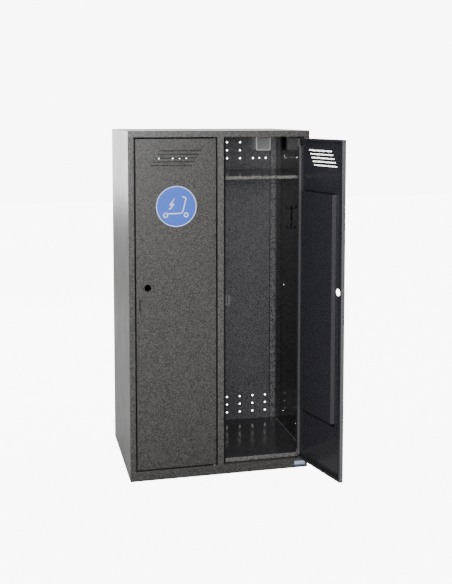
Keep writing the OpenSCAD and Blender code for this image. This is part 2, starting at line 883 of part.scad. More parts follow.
// Angle that holds the upper pin below the door's edge, welded to the skin
module door_pin_bracket() {
    x = pin_bracket_w / 2;
    top = pin_bracket_z + pin_bracket_t;
    color(zinc) difference() {
        union() {
            block([-x, skin_y, pin_bracket_z], [x, pin_r + 3, top]);
            block([-x, skin_y, top - pin_bracket_h], [x, skin_y + pin_bracket_leg_t, top]);
        }
        bar_z([0, 0, pin_bracket_z - cut], pin_hole_r, pin_bracket_t + 2 * cut);
    }
}

// Round sign stuck on the door, a thin disc
module door_sign() {
    y = face_y - sign_t;
    color([0.16, 0.33, 0.68]) bar_y([pivot_inset - door_w / 2, y, sign_h], sign_d / 2, sign_t);
}

// Puts a door's pieces at its hinge, turned open by the angle
module at_door(x, angle) {
    translate([x, pivot_y, 0]) rotate([0, 0, angle]) children();
}

module left_door() { at_door(left_pivot_x, 0) door_pan(); }
module left_door_stiffener() { at_door(left_pivot_x, 0) door_stiffener(); }
module left_door_bush() { at_door(left_pivot_x, 0) door_bush(); }
module left_door_pin() { at_door(left_pivot_x, 0) door_pin(); }
module left_door_pin_bracket() { at_door(left_pivot_x, 0) door_pin_bracket(); }
module left_door_sign() { at_door(left_pivot_x, 0) door_sign(); }
module right_door() { at_door(right_pivot_x, right_open) door_pan(); }
module right_door_stiffener() { at_door(right_pivot_x, right_open) door_stiffener(); }
module right_door_bush() { at_door(right_pivot_x, right_open) door_bush(); }
module right_door_pin() { at_door(right_pivot_x, right_open) door_pin(); }
module right_door_pin_bracket() { at_door(right_pivot_x, right_open) door_pin_bracket(); }

// Rectangle w by h with round corners, its lower edge on the X axis
module round_rect(w, h, r) {
    translate([-w / 2 + r, 0]) square([w - 2 * r, h]);
    translate([-w / 2, r]) square([w, h - 2 * r]);
    for (x = [-w / 2 + r, w / 2 - r], y = [r, h - r]) translate([x, y]) circle(r);
}

// Places a socket's pieces: X across, Y from the back panel, Z from the housing's foot
module at_socket(x) {
    translate([x, back_y, socket_h]) children();
}

// A rounded slab of the socket between two depths
module socket_slab(w, h, r, z, y0, y1) {
    translate([0, y1, z]) rotate([90, 0, 0]) linear_extrude(y1 - y0) round_rect(w, h, r);
}

// Surface-mounted housing, open at the rear, with two lugs for the flap's pin
module socket_box() {
    w = socket_wall;
    fw = socket_w - 2 * socket_frame;
    fh = socket_hgt - socket_frame - socket_frame_top;
    lug_x = socket_w / 2 - w;
    color(socket_grey) difference() {
        union() {
            difference() {
                socket_slab(socket_w, socket_hgt, socket_r, 0, -socket_d, 0);
                socket_slab(socket_w - 2 * w, socket_hgt - 2 * w, socket_r - w, w, -socket_d + w, cut);
                socket_slab(fw, fh, flap_corner_r + flap_gap, socket_frame,
                    -socket_d - cut, -socket_d + w + cut);
                block([-fw / 2, -socket_d - cut, socket_hgt / 2],
                      [fw / 2, -socket_d + w + cut, socket_hgt - socket_frame_top]);
            }
            for (x = [-lug_x, lug_x - lug_w])
                block([x, -socket_d + w, flap_axis_z - lug_h / 2],
                      [x + lug_w, flap_axis_y + lug_rear, flap_axis_z + lug_h / 2]);
        }
        bar_x([-lug_x, flap_axis_y, flap_axis_z], flap_pin_r + flap_pin_gap, 2 * lug_x);
    }
}

// Socket faceplate with its round well and contact holes
module socket_insert() {
    foot = socket_wall + insert_gap;
    w = socket_w - 2 * foot;
    h = socket_hgt - 2 * foot;
    mid_z = socket_hgt / 2 - 2;
    y1 = insert_y + insert_t;
    color([0.75, 0.75, 0.77]) difference() {
        union() {
            difference() {
                socket_slab(w, h, socket_r - foot, foot, insert_y, y1);
                block([-w, insert_y - cut, flap_axis_z - insert_top_gap], [w, y1 + cut, socket_hgt]);
            }
            bar_y([0, insert_y, mid_z], well_d / 2 + well_wall, well_depth + well_base);
        }
        bar_y([0, insert_y - cut, mid_z], well_d / 2, well_depth + cut);
        for (x = [-contact_x, contact_x])
            bar_y([x, insert_y, mid_z], contact_r, well_depth + well_base + cut);
    }
}

// Spring-shut flap with its two hinge barrels
module socket_flap() {
    top = flap_axis_z + flap_top_rise;
    h = top - flap_low_z;
    y1 = -socket_d + flap_t;
    grip = flap_grip_w / 2;
    color([0.6, 0.6, 0.62]) difference() {
        union() {
            difference() {
                socket_slab(2 * flap_x, h, flap_corner_r, flap_low_z, -socket_d, y1);
                socket_slab(2 * (flap_x - flap_rim_w), h - flap_head, flap_rim_w, flap_low_z + flap_rim_w,
                    -socket_d + flap_skin_t, y1 + cut);
            }
            bar_x([-flap_x, flap_axis_y, flap_axis_z], flap_barrel_r, 2 * flap_x);
        }
        bar_x([-flap_x - cut, flap_axis_y, flap_axis_z], flap_pin_r + pin_gap, 2 * (flap_x + cut));
        block([-spring_gap / 2, -socket_d + spring_skin_t, flap_axis_z - spring_room],
              [spring_gap / 2, 0, top + cut]);
        block([-grip, -socket_d - cut, flap_low_z - cut],
              [grip, -socket_d + flap_grip_d, flap_low_z + flap_grip_h]);
    }
}

module flap_pin() {
    l = socket_w - 2 * socket_wall - 1;
    color(zinc) bar_x([-l / 2, flap_axis_y, flap_axis_z], flap_pin_r, l);
}

// Coil round the flap's pin
module flap_spring() {
    turns = 7;
    wire = 0.9;
    r = flap_pin_r + 0.3 + wire / 2;
    l = spring_gap - 2 - wire;
    color(zinc) translate([-l / 2, flap_axis_y, flap_axis_z]) rotate([0, 90, 0])
        linear_extrude(height = l, twist = 360 * turns, slices = 12 * turns, segments = 6, $fn = 6)
            translate([r, 0]) circle(d = wire);
}

module left_socket_box() { at_socket(left_socket_x) socket_box(); }
module right_socket_box() { at_socket(right_socket_x) socket_box(); }
module left_socket_insert() { at_socket(left_socket_x) socket_insert(); }
module right_socket_insert() { at_socket(right_socket_x) socket_insert(); }
module left_socket_flap() { at_socket(left_socket_x) socket_flap(); }
module right_socket_flap() { at_socket(right_socket_x) socket_flap(); }
module left_flap_pin() { at_socket(left_socket_x) flap_pin(); }
module right_flap_pin() { at_socket(right_socket_x) flap_pin(); }

module flap_springs() {
    for (x = [left_socket_x, right_socket_x]) at_socket(x) flap_spring();
}

// Junction box on the rear of the back panel, between the two sockets
module junction_box() {
    w = junction_w / 2;
    y0 = back_y + t;
    color(socket_grey) difference() {
        block([junction_x - w, y0, junction_z - w], [junction_x + w, y0 + junction_d, junction_z + w]);
        difference() {
            block([junction_x - w + junction_wall, y0 + junction_wall, junction_z - w + junction_wall],
                  [junction_x + w - junction_wall, y0 + junction_d + cut, junction_z + w - junction_wall]);
            for (p = junction_screws()) bar_y([p[0], y0, p[1]], boss_r, junction_d);
        }
        bar_x([junction_x - w - cut, lead_y, lead_z], lead_r + 2 * seat_gap, junction_w + 2 * cut);
        bar_z([junction_x, y0 + junction_d / 2, junction_z - w - cut],
            gland_thread_r + seat_gap, junction_wall + 2 * cut);
        for (p = junction_screws())
            bar_y([p[0], y0 + junction_d - screw_hole_l, p[1]], screw_r + seat_gap, screw_hole_l + cut);
    }
}

function junction_screws() = let (d = junction_w / 2 - screw_inset)
    [for (i = [-1, 1], k = [-1, 1]) [junction_x + i * d, junction_z + k * d]];

module junction_box_lid() {
    w = junction_w / 2;
    y0 = back_y + t + junction_d;
    step_z = w - junction_wall - 0.3;
    color([0.62, 0.62, 0.64]) difference() {
        union() {
            block([junction_x - w, y0, junction_z - w], [junction_x + w, y0 + lid_t, junction_z + w]);
            block([junction_x - w + lid_step_inset, y0 - lid_step, junction_z - step_z],
                  [junction_x + w - lid_step_inset, y0, junction_z + step_z]);
        }
        for (p = junction_screws()) bar_y([p[0], y0 - cut, p[1]], screw_r + 0.4, lid_t + 2 * cut);
    }
}

module junction_box_screws() {
    y0 = back_y + t + junction_d;
    color(zinc) for (p = junction_screws()) difference() {
        union() {
            bar_y([p[0], y0 - screw_l, p[1]], screw_r, screw_l + lid_t);
            bar_y([p[0], y0 + lid_t, p[1]], screw_head_r, screw_head_t);
        }
        block([p[0] - driver_slot / 2, y0 + lid_t + screw_head_t / 2, p[1] - screw_head_r - cut],
              [p[0] + driver_slot / 2, y0 + lid_t + screw_head_t + cut, p[1] + screw_head_r + cut]);
    }
}

// Cable gland in the floor of the junction box: nut, body and dome
module inlet_gland() {
    z = junction_z - junction_w / 2;
    dome_z = -gland_hex_t - gland_body_l;
    color(socket_grey) translate([junction_x, back_y + t + junction_d / 2, z]) difference() {
        union() {
            translate([0, 0, -gland_hex_t]) cylinder(h = gland_hex_t, r = gland_hex_r, $fn = 6);
            translate([0, 0, dome_z]) cylinder(h = gland_body_l, r = gland_body_r);
            translate([0, 0, dome_z - gland_dome_l])
                cylinder(h = gland_dome_l, r1 = gland_mouth_r, r2 = gland_body_r);
            cylinder(h = gland_thread_l, r = gland_thread_r);
            translate([0, 0, junction_wall]) cylinder(h = gland_nut_t, r = gland_nut_r, $fn = 6);
        }
        translate([0, 0, dome_z - gland_dome_l - cut])
            cylinder(h = gland_thread_l - dome_z + gland_dome_l + 2 * cut, r = gland_r);
    }
}

// Lead from the junction box to the socket at x: straight run, bend and end stub
module supply_lead(x) {
    s = x > junction_x ? 1 : -1;
    start = junction_x + s * (junction_w / 2 - lead_start);
    run = abs(x - start) - lead_bend;
    color(nylon) translate([start, lead_y, lead_z]) rotate([0, 0, s > 0 ? 0 : 180])
        mirror([0, s > 0 ? 0 : 1, 0]) {
            rotate([0, 90, 0]) cylinder(h = run, r = lead_r);
            translate([run, -lead_bend, 0]) rotate_extrude(angle = 90)
                translate([lead_bend, 0]) circle(lead_r);
            translate([run + lead_bend, -lead_bend, 0])
                rotate([90, 0, 0]) cylinder(h = lead_stub, r = lead_r);
        }
}

module left_supply_lead() { supply_lead(left_socket_x); }
module right_supply_lead() { supply_lead(right_socket_x); }

// Blocks that hold the leads off the back panel
module lead_clips() {
    y0 = back_y + t;
    d = junction_w / 2 + clip_from_box;
    h = lead_r + clip_wall;
    xs = [left_socket_x + clip_from_socket, junction_x - d, junction_x + d, right_socket_x - clip_from_socket];
    color(nylon) for (x = xs) difference() {
        block([x - clip_l / 2, y0, lead_z - h], [x + clip_l / 2, lead_y + lead_r + clip_rear, lead_z + h]);
        bar_x([x - clip_l / 2 - cut, lead_y, lead_z], lead_r + seat_gap, clip_l + 2 * cut);
    }
}

// Rubber grommets where the leads pass through the back panel
module lead_grommets() {
    color(nylon) for (x = [left_socket_x, right_socket_x]) translate([x, back_y, lead_z])
        rotate([-90, 0, 0]) difference() {
            union() {
                for (z = [-grommet_lip_t, t])
                    translate([0, 0, z]) cylinder(h = grommet_lip_t, r = grommet_hole_r + grommet_lip);
                cylinder(h = t, r = grommet_hole_r - seat_gap);
            }
            translate([0, 0, -grommet_lip_t - cut])
                cylinder(h = t + 2 * (grommet_lip_t + cut), r = lead_r + seat_gap);
        }
}

// Blank plate at the right end of the base rail
module blank_plate() {
    x1 = side_x - plate_inset;
    z0 = (base_h - plate_h) / 2;
    color([0.6, 0.7, 0.85])
        block([x1 - plate_w, front_y - plate_t, z0], [x1, front_y, z0 + plate_h]);
}

base_rail();
rear_rail();
left_side_panel();
right_side_panel();
centre_post();
centre_partition();
back_panel();
corner_angles();
ceiling_panel();
top_cap();
left_floor();
right_floor();
left_shelf();
right_shelf();
shelf_brackets();
left_strike_plate();
right_strike_plate();
left_coat_hook();
right_coat_hook();
hook_rivets();
panel_rivets();
door_buffers();
lower_hinge_pins();
upper_hinge_bushes();
left_socket_box();
right_socket_box();
left_socket_insert();
right_socket_insert();
left_flap_pin();
right_flap_pin();
flap_springs();
left_socket_flap();
right_socket_flap();
junction_box();
junction_box_lid();
junction_box_screws();
inlet_gland();
left_supply_lead();
right_supply_lead();
lead_clips();
lead_grommets();
blank_plate();
left_door();
left_door_stiffener();
left_door_bush();
left_door_pin();
left_door_pin_bracket();
left_door_sign();
right_door();
right_door_stiffener();
right_door_bush();
right_door_pin();
right_door_pin_bracket();
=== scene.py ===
import bpy
import numpy as np
from mathutils import Euler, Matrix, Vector


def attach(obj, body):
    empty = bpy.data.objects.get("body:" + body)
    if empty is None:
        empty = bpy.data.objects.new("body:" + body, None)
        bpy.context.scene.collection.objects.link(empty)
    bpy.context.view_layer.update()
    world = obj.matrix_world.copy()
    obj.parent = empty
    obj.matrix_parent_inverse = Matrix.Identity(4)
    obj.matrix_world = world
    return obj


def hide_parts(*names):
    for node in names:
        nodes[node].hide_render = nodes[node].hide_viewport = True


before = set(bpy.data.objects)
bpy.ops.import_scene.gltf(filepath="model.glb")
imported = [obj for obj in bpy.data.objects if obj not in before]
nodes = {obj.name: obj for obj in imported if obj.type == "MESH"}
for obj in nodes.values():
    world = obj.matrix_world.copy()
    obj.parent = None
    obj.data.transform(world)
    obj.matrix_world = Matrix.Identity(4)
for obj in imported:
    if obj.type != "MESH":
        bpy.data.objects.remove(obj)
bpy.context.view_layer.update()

# Base rail: the channel of folded steel sheet that stands on the ground across the front.
# It is powder coated in the dark hammered grey of the whole outside, and welded to the side
# panels. Its top flange carries the two lower hinge pins.
MM = 0.001
SHEET = 1.2
HALF = SHEET / 2
BEND = 1.0
CUT_EDGE = 0.2
SIDE_X = 475.0
WALL_X = SIDE_X - SHEET
FRONT_Y = -360.0
STOP_Y = -334.0
INSIDE_Y = STOP_Y + SHEET
RAIL_TOP = 51.0
RAIL_GAP = 0.1
SMOOTH_BELOW = 34.0
BEVEL_ABOVE = 40.0
SLOW_SCALE = 6.0
NOISE_SUM = (0.6, 1.4)
HAMMER = dict(rough=0.33, grain=2.7, relief=0.45, spots=(0.44, 0.60))


def rounded(points, radii, steps=4):
    """Closed outline whose corners are arcs: each arc's centre lies on the corner's bisector at
    radius / sin(half the angle), and the arc turns from one tangent point to the other."""
    p = np.asarray(points, float)
    r = np.broadcast_to(np.asarray(radii, float), len(p))
    back = np.roll(p, 1, 0) - p
    ahead = np.roll(p, -1, 0) - p
    back /= np.linalg.norm(back, axis=1)[:, None]
    ahead /= np.linalg.norm(ahead, axis=1)[:, None]
    half = 0.5 * np.arccos(np.clip((back * ahead).sum(1), -1, 1))
    middle = back + ahead
    middle /= np.linalg.norm(middle, axis=1)[:, None]
    centre = p + middle * (r / np.sin(half))[:, None]
    reach = (r / np.tan(half))[:, None]
    first = p + back * reach - centre
    last = p + ahead * reach - centre
    sweep = (np.pi - 2 * half)[:, None, None]
    s = np.linspace(0, 1, steps + 1)[None, :, None]
    arc = (np.sin((1 - s) * sweep) * first[:, None] + np.sin(s * sweep) * last[:, None]) / np.sin(sweep)
    return (centre[:, None] + arc).reshape(-1, 2)


def folded(path, thick=SHEET, bend=BEND, steps=4):
    """Section of a folded strip: the path moved half the thickness to each side along its mitred
    normals, with the bend radius inside each fold, and that plus the thickness outside it."""
    p = np.asarray(path, float)
    d = np.diff(p, axis=0)
    d /= np.linalg.norm(d, axis=1)[:, None]
    normal = np.stack([-d[:, 1], d[:, 0]], 1)
    before = np.vstack([normal[:1], normal])
    after = np.vstack([normal, normal[-1:]])
    mitre = (before + after) / (1 + (before * after).sum(1))[:, None]
    turn = np.zeros(len(p))
    turn[1:-1] = np.sign(d[:-1, 0] * d[1:, 1] - d[:-1, 1] * d[1:, 0])
    end = min(CUT_EDGE, thick / 4)
    left = np.where(turn > 0, bend, np.where(turn < 0, bend + thick, end))
    right = np.where(turn < 0, bend, np.where(turn > 0, bend + thick, end))
    outline = np.vstack([p + mitre * thick / 2, (p - mitre * thick / 2)[::-1]])
    return rounded(outline, np.concatenate([left, right[::-1]]), steps)


def outward(verts, faces):
    """The same shell with its faces turned outward, by the sign of the volume that it encloses."""
    tris = np.array([(f[0], f[i], f[i + 1]) for f in faces for i in range(1, len(f) - 1)])
    a, b, c = (verts[tris[:, i]] for i in range(3))
    if np.einsum("ij,ij->i", a, np.cross(b, c)).sum() < 0:
        faces = [f[::-1] for f in faces]
    return verts, faces


def loft(layers, closed=False):
    """Shell over layers of points, an array of (layers, around, 3): quads between neighbouring
    layers, and a flat face on the first and the last, or quads from the last back to the first."""
    m, n = layers.shape[:2]
    rows = np.arange(m if closed else m - 1)[:, None]
    col = np.arange(n)[None, :]
    nxt = (col + 1) % n
    up = (rows + 1) % m
    quads = np.stack([rows * n + col, rows * n + nxt, up * n + nxt, up * n + col], -1).reshape(-1, 4)
    faces = quads.tolist()
    if not closed:
        faces.append(list(range(n))[::-1])
        faces.append(list(range((m - 1) * n, m * n)))
    return outward(layers.reshape(-1, 3), faces)


def prism(outline, low, high, along):
    """An outline in the two axes other than the named one, carried straight from low to high."""
    axis = "xyz".index(along)
    others = [i for i in range(3) if i != axis]
    layers = np.zeros((2, len(outline), 3))
    layers[:, :, others] = outline
    layers[:, :, axis] = np.array([low, high])[:, None]
    return loft(layers)


def piece(name, shape, material, body="cabinet", replaces=(), bevel=0.0):
    """Puts a shell in millimetres into a mesh in metres, smooth where faces meet below the angle,
    with normals weighted by area so that flat sheet stays flat beside its bends."""
    verts, faces = shape
    mesh = bpy.data.meshes.new(name)
    mesh.from_pydata((verts * MM).tolist(), [], faces)
    mesh.polygons.foreach_set("use_smooth", np.ones(len(faces), bool))
    mesh.set_sharp_from_angle(angle=np.radians(SMOOTH_BELOW))
    mesh.materials.append(material)
    obj = bpy.data.objects.new(name, mesh)
    bpy.context.scene.collection.objects.link(obj)
    if bevel:
        edges = obj.modifiers.new("edges", "BEVEL")
        edges.width = bevel * MM
        edges.segments = 2
        edges.limit_method = "ANGLE"
        edges.angle_limit = np.radians(BEVEL_ABOVE)
    even = obj.modifiers.new("even_shading", "WEIGHTED_NORMAL")
    even.weight = 100
    even.keep_sharp = not bevel
    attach(obj, body)
    if replaces:
        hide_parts(*replaces)
    return obj


def node(tree, kind, operation=None, **sockets):
    """A new shader node of the named type, with its operation and the fixed values of its sockets."""
    made = tree.nodes.new(kind)
    if operation:
        made.operation = operation
    for socket, value in sockets.items():
        made.inputs[socket.replace("_", " ")].default_value = value
    return made


def finish(name, dark, light, rough, grain, relief, metal=0.0, specular=0.5, vary=0.06,
           spots=(0.36, 0.66)):
    """A finish from noise on object coordinates: fine noise as wide as the grain sets the colour
    between dark and light and the relief in millimetres, and slow noise makes the gloss uneven."""
    material = bpy.data.materials.new(name)
    material.use_nodes = True
    tree = material.node_tree
    shader = tree.nodes["Principled BSDF"]
    shader.inputs["Metallic"].default_value = metal
    shader.inputs["Specular IOR Level"].default_value = specular
    place = node(tree, "ShaderNodeTexCoord")
    fine = node(tree, "ShaderNodeTexNoise", Scale=1 / (grain * MM), Detail=2.0)
    slow = node(tree, "ShaderNodeTexNoise", Scale=SLOW_SCALE, Detail=3.0)
    tint = node(tree, "ShaderNodeValToRGB")
    tint.color_ramp.elements[0].position = spots[0]
    tint.color_ramp.elements[0].color = (*dark, 1)
    tint.color_ramp.elements[1].position = spots[1]
    tint.color_ramp.elements[1].color = (*light, 1)
    both = node(tree, "ShaderNodeMath", "ADD")
    sheen = node(tree, "ShaderNodeMapRange", From_Min=NOISE_SUM[0], From_Max=NOISE_SUM[1],
                 To_Min=rough - vary, To_Max=rough + vary)
    bump = node(tree, "ShaderNodeBump", Strength=1.0, Distance=relief * MM)
    link = tree.links.new
    link(place.outputs["Object"], fine.inputs["Vector"])
    link(place.outputs["Object"], slow.inputs["Vector"])
    link(fine.outputs["Fac"], tint.inputs["Fac"])
    link(tint.outputs["Color"], shader.inputs["Base Color"])
    link(slow.outputs["Fac"], both.inputs[0])
    link(fine.outputs["Fac"], both.inputs[1])
    link(both.outputs["Value"], sheen.inputs["Value"])
    link(sheen.outputs["Result"], shader.inputs["Roughness"])
    link(fine.outputs["Fac"], bump.inputs["Height"])
    link(bump.outputs["Normal"], shader.inputs["Normal"])
    return material


hammered = finish("hammered_grey_coat", (0.008, 0.008, 0.007), (0.136, 0.130, 0.124), **HAMMER)

rail = prism(folded([(INSIDE_Y, HALF), (FRONT_Y + HALF, HALF), (FRONT_Y + HALF, RAIL_TOP - HALF),
                     (INSIDE_Y, RAIL_TOP - HALF)]), -SIDE_X, SIDE_X, "x")
inner = rail[0][:, 1] > FRONT_Y + SHEET
rail[0][inner, 0] = np.sign(rail[0][inner, 0]) * (WALL_X - RAIL_GAP)
piece("folded_base_rail", rail, hammered, replaces=["base_rail"])

# Side panels: one sheet each, folded at the front into the post, the jamb and the door stop, and
# at the rear into a flange. Five punched holes a side take the bolts between lockers, and a flange
# stiffens the foot and the head. Inside, the coat is smooth, dark and glossy. On the jamb and the
# door stop the same near-black coat stands as painted shade in the door gaps.
REAR_Y = 360.0
PANEL_TOP = 1768.0
POST_W = 30.0
LOCK_STOP = 14.0
HINGE_STOP = 24.0
FLANGE = 22.0
FLANGE_CUT = 23.6
FLANGE_FOOT = 119.0
NOTCH_X = 415.0
NOTCH_Y = -330.0
PAST = 5.0
FOOT_CUT = -1.0
LINK_R = 3.5
LINK_REACH = 3.0
LINK_PLACES = np.array([(-145, 165), (90, 165), (-145, 1649), (90, 1649), (90, 907)], float)


def block(low, high, radius=0.3, along="z"):
    """A box from corner to corner, with the four edges along the named axis rounded."""
    axis = "xyz".index(along)
    a, b = [i for i in range(3) if i != axis]
    corners = [(low[a], low[b]), (high[a], low[b]), (high[a], high[b]), (low[a], high[b])]
    return prism(rounded(corners, radius), low[axis], high[axis], along)


def joined(*shapes):
    """Several shells as one list of points and faces."""
    count = np.cumsum([0] + [len(v) for v, _ in shapes])
    faces = [[i + c for i in face] for (_, f), c in zip(shapes, count) for face in f]
    return np.vstack([v for v, _ in shapes]), faces


def moved(shape, by):
    """The same shell with one step added to all its points."""
    return shape[0] + np.asarray(by, float), shape[1]


def coat_faces(obj, chosen, *materials):
    """Gives a piece further finishes, where the coat differs on one sheet: the array holds 0 for a
    face that keeps the first finish, and 1, 2 and so on for the further ones in turn."""
    for material in materials:
        obj.data.materials.append(material)
    obj.data.polygons.foreach_set("material_index", np.asarray(chosen, np.int32))


def centres(shape):
    """The middle of each face of a shell: the mean of its corners."""
    verts, faces = shape
    count = np.array([len(face) for face in faces])
    starts = np.concatenate([[0], np.cumsum(count)[:-1]])
    return np.add.reduceat(verts[np.concatenate(faces)], starts) / count[:, None]


def turned(profile, centre, along="z", n=32, closed=False):
    """Surface of revolution: the profile's (radius, height) pairs carried round the named axis."""
    profile = np.asarray(profile, float)
    a = np.linspace(0, 2 * np.pi, n, endpoint=False)
    axis = "xyz".index(along)
    one, two = [i for i in range(3) if i != axis]
    layers = np.zeros((len(profile), n, 3))
    layers[:, :, one] = profile[:, :1] * np.cos(a)
    layers[:, :, two] = profile[:, :1] * np.sin(a)
    layers[:, :, axis] = profile[:, 1:]
    return moved(loft(layers, closed), centre)


def loose(shape):
    """A passing object that holds a shell for the length of one Boolean."""
    mesh = bpy.data.meshes.new("passing")
    mesh.from_pydata(shape[0].tolist(), [], shape[1])
    obj = bpy.data.objects.new("passing", mesh)
    bpy.context.scene.collection.objects.link(obj)
    return obj


def cut_out(shape, *tools):
    """The shape less the punches that go through it, by Blender's exact Boolean on passing objects."""
    blank = loose(shape)
    punch = loose(joined(*tools))
    step = blank.modifiers.new("punch", "BOOLEAN")
    step.operation = "DIFFERENCE"
    step.solver = "EXACT"
    step.object = punch
    result = blank.evaluated_get(bpy.context.evaluated_depsgraph_get())
    mesh = result.to_mesh()
    verts = np.empty(len(mesh.vertices) * 3)
    mesh.vertices.foreach_get("co", verts)
    corners = np.empty(len(mesh.loops), int)
    mesh.loops.foreach_get("vertex_index", corners)
    starts = np.empty(len(mesh.polygons), int)
    mesh.polygons.foreach_get("loop_start", starts)
    faces = [part.tolist() for part in np.split(corners, starts[1:])]
    result.to_mesh_clear()
    for obj in (blank, punch):
        data = obj.data
        bpy.data.objects.remove(obj)
        bpy.data.meshes.remove(data)
    return verts.reshape(-1, 3), faces


def side_panel(side, stop):
    """The folded sheet of one side, 1 right or -1 left, less the notch over the base rail, the foot
    of the rear flange and the link holes, with the two flanges at its foot and head."""
    x = SIDE_X - HALF
    jamb = SIDE_X - POST_W + HALF
    front = FRONT_Y + HALF
    back = REAR_Y - HALF
    path = np.array([(jamb - HALF - stop, STOP_Y + HALF), (jamb, STOP_Y + HALF), (jamb, front),
                     (x, front), (x, back), (SIDE_X - FLANGE, back)]) * (side, 1)
    notch = np.array([(SIDE_X + PAST, FRONT_Y - PAST), (NOTCH_X, FRONT_Y - PAST), (NOTCH_X, NOTCH_Y),
                      (WALL_X, NOTCH_Y), (WALL_X, FRONT_Y + SHEET),
                      (SIDE_X + PAST, FRONT_Y + SHEET)]) * (side, 1)
    cut = sorted((side * WALL_X, side * (WALL_X - FLANGE_CUT)))
    tools = [prism(notch, FOOT_CUT, RAIL_TOP, "z"),
             block((cut[0], REAR_Y - 2 * PAST, FOOT_CUT), (cut[1], REAR_Y + PAST, FLANGE_FOOT))]
    tools += [turned([(LINK_R, -LINK_REACH), (LINK_R, LINK_REACH)], (side * x, y, z), "x", 24)
              for y, z in LINK_PLACES]
    wall = cut_out(prism(folded(path), 0, PANEL_TOP, "z"), *tools)
    mid = side * (SIDE_X - FLANGE / 2 - HALF)
    reach = FLANGE / 2 - HALF
    lips = [block((mid - reach, y, z), (mid + reach, REAR_Y - SHEET, z + SHEET), CUT_EDGE)
            for y, z in ((FRONT_Y + SHEET, 0), (INSIDE_Y, PANEL_TOP - SHEET))]
    return joined(wall, *lips)


# Near-black inner coat: the real dark glossy coat inside, and painted shade on the jambs and stops in the door
# gaps.
inner_coat_gap_shade = finish("inner_wall_coat_gap_shade", (0.003, 0.0025, 0.0035), (0.016, 0.014, 0.018), 0.10, 6.0, 0.02,
                   specular=0.15, vary=0.02)
for name, side, stop in (("left", -1, LOCK_STOP), ("right", 1, HINGE_STOP)):
    panel = side_panel(side, stop)
    middle = centres(panel)
    inner_and_gap_faces = ((side * middle[:, 0] < WALL_X + SHEET / 3)
              & (middle[:, 1] > FRONT_Y + 2 * SHEET) & (middle[:, 1] < REAR_Y - 2))
    coat_faces(piece(name + "_folded_side", panel, hammered, replaces=[name + "_side_panel"]), inner_and_gap_faces, inner_coat_gap_shade)

# Post between the doors: a hat section of the same sheet, with the hinge stop of the left door on
# one side and the lock stop of the right door on the other. Its front has the outside coat painted a
# shade paler and glossier than the side panels', as a painted highlight. Its inner sides are smooth
# and dark, the near-black inner coat, which stands as painted shade in the door gaps.
POST_HALF = 17.0

# The outside coat painted paler and glossier: a painted highlight on the post and the cap.
hammered_highlight = finish("hammered_painted_highlight_coat", (0.009, 0.009, 0.008), (0.153, 0.147, 0.140),
                       specular=0.62, **HAMMER)
across = POST_HALF - HALF
hat = folded([(-POST_HALF - HINGE_STOP, STOP_Y + HALF), (-across, STOP_Y + HALF),
              (-across, FRONT_Y + HALF), (across, FRONT_Y + HALF), (across, STOP_Y + HALF),
              (POST_HALF + LOCK_STOP, STOP_Y + HALF)])
post = prism(hat, RAIL_TOP, PANEL_TOP, "z")
coat_faces(piece("folded_centre_post", post, hammered_highlight, replaces=["centre_post"]), centres(post)[:, 1] > FRONT_Y + 2 * SHEET, inner_coat_gap_shade)

# Partition, back panel and ceiling panel: flat sheets inside the cabinet, coated with the rest.
# Their CAD sheets already have every hole and flange, and only take their finish here.
inside = finish("inside_coat", (0.014, 0.014, 0.016), (0.19, 0.19, 0.205), 0.33, 3.2, 0.35,
                spots=(0.43, 0.62))

for name, coat in (("centre_partition", inner_coat_gap_shade), ("back_panel", inside), ("ceiling_panel", inside)):
    nodes[name].data.materials.clear()
    nodes[name].data.materials.append(coat)

# Rear rail: a channel of the same sheet under the rear edge of the floors, coated and welded to
# the side panels. Its lower flange is shorter, to clear the side panels' rear flanges.
FLOOR_TOP = 75.0
BACK_Y = 260.0
REAR_RAIL_W = 29.4
CLEAR = 0.05

rear = BACK_Y - SHEET - HALF
head = FLOOR_TOP - SHEET - HALF
channel = prism(folded([(rear - REAR_RAIL_W, HALF), (rear, HALF), (rear, head),
                        (rear - REAR_RAIL_W, head)]),
                -WALL_X + CLEAR, WALL_X - CLEAR, "x")
low = channel[0][:, 2] < SHEET + RAIL_GAP
channel[0][low, 0] = np.sign(channel[0][low, 0]) * (SIDE_X - FLANGE)
piece("folded_rear_rail", channel, hammered, replaces=["rear_rail"])

# Corner angles: folded strips in the two rear corners of each compartment, riveted to the back
# panel. Their coat is a little rougher than the panel's and a shade lighter, a painted highlight,
# and covers the rivets too.
ANGLE_W = 33.0
ANGLE_LEG = 24.0
CORNERS = ((-WALL_X, 1), (-HALF, -1), (HALF, 1), (WALL_X, -1))

angle_highlight_coat = finish("corner_angle_painted_highlight", (0.026, 0.026, 0.028), (0.20, 0.20, 0.21), 0.3, 4.2, 0.25,
                    spots=(0.42, 0.60))
strips = []
for wall, side in CORNERS:
    x = wall + side * HALF
    corner = folded([(x, BACK_Y - ANGLE_LEG), (x, BACK_Y - HALF), (wall + side * ANGLE_W, BACK_Y - HALF)])
    strips.append(prism(corner, FLOOR_TOP, PANEL_TOP - SHEET, "z"))
piece("folded_corner_angles", joined(*strips), angle_highlight_coat, replaces=["corner_angles"])

# Shadows at the corner angles: a thin dark strip of painted shadow along both free edges of each
# angle, laid on the back panel and on the wall.
SHADOW_W = 3.5
SHADOW_T = 0.6
SHADOW_TOP = 1755.0

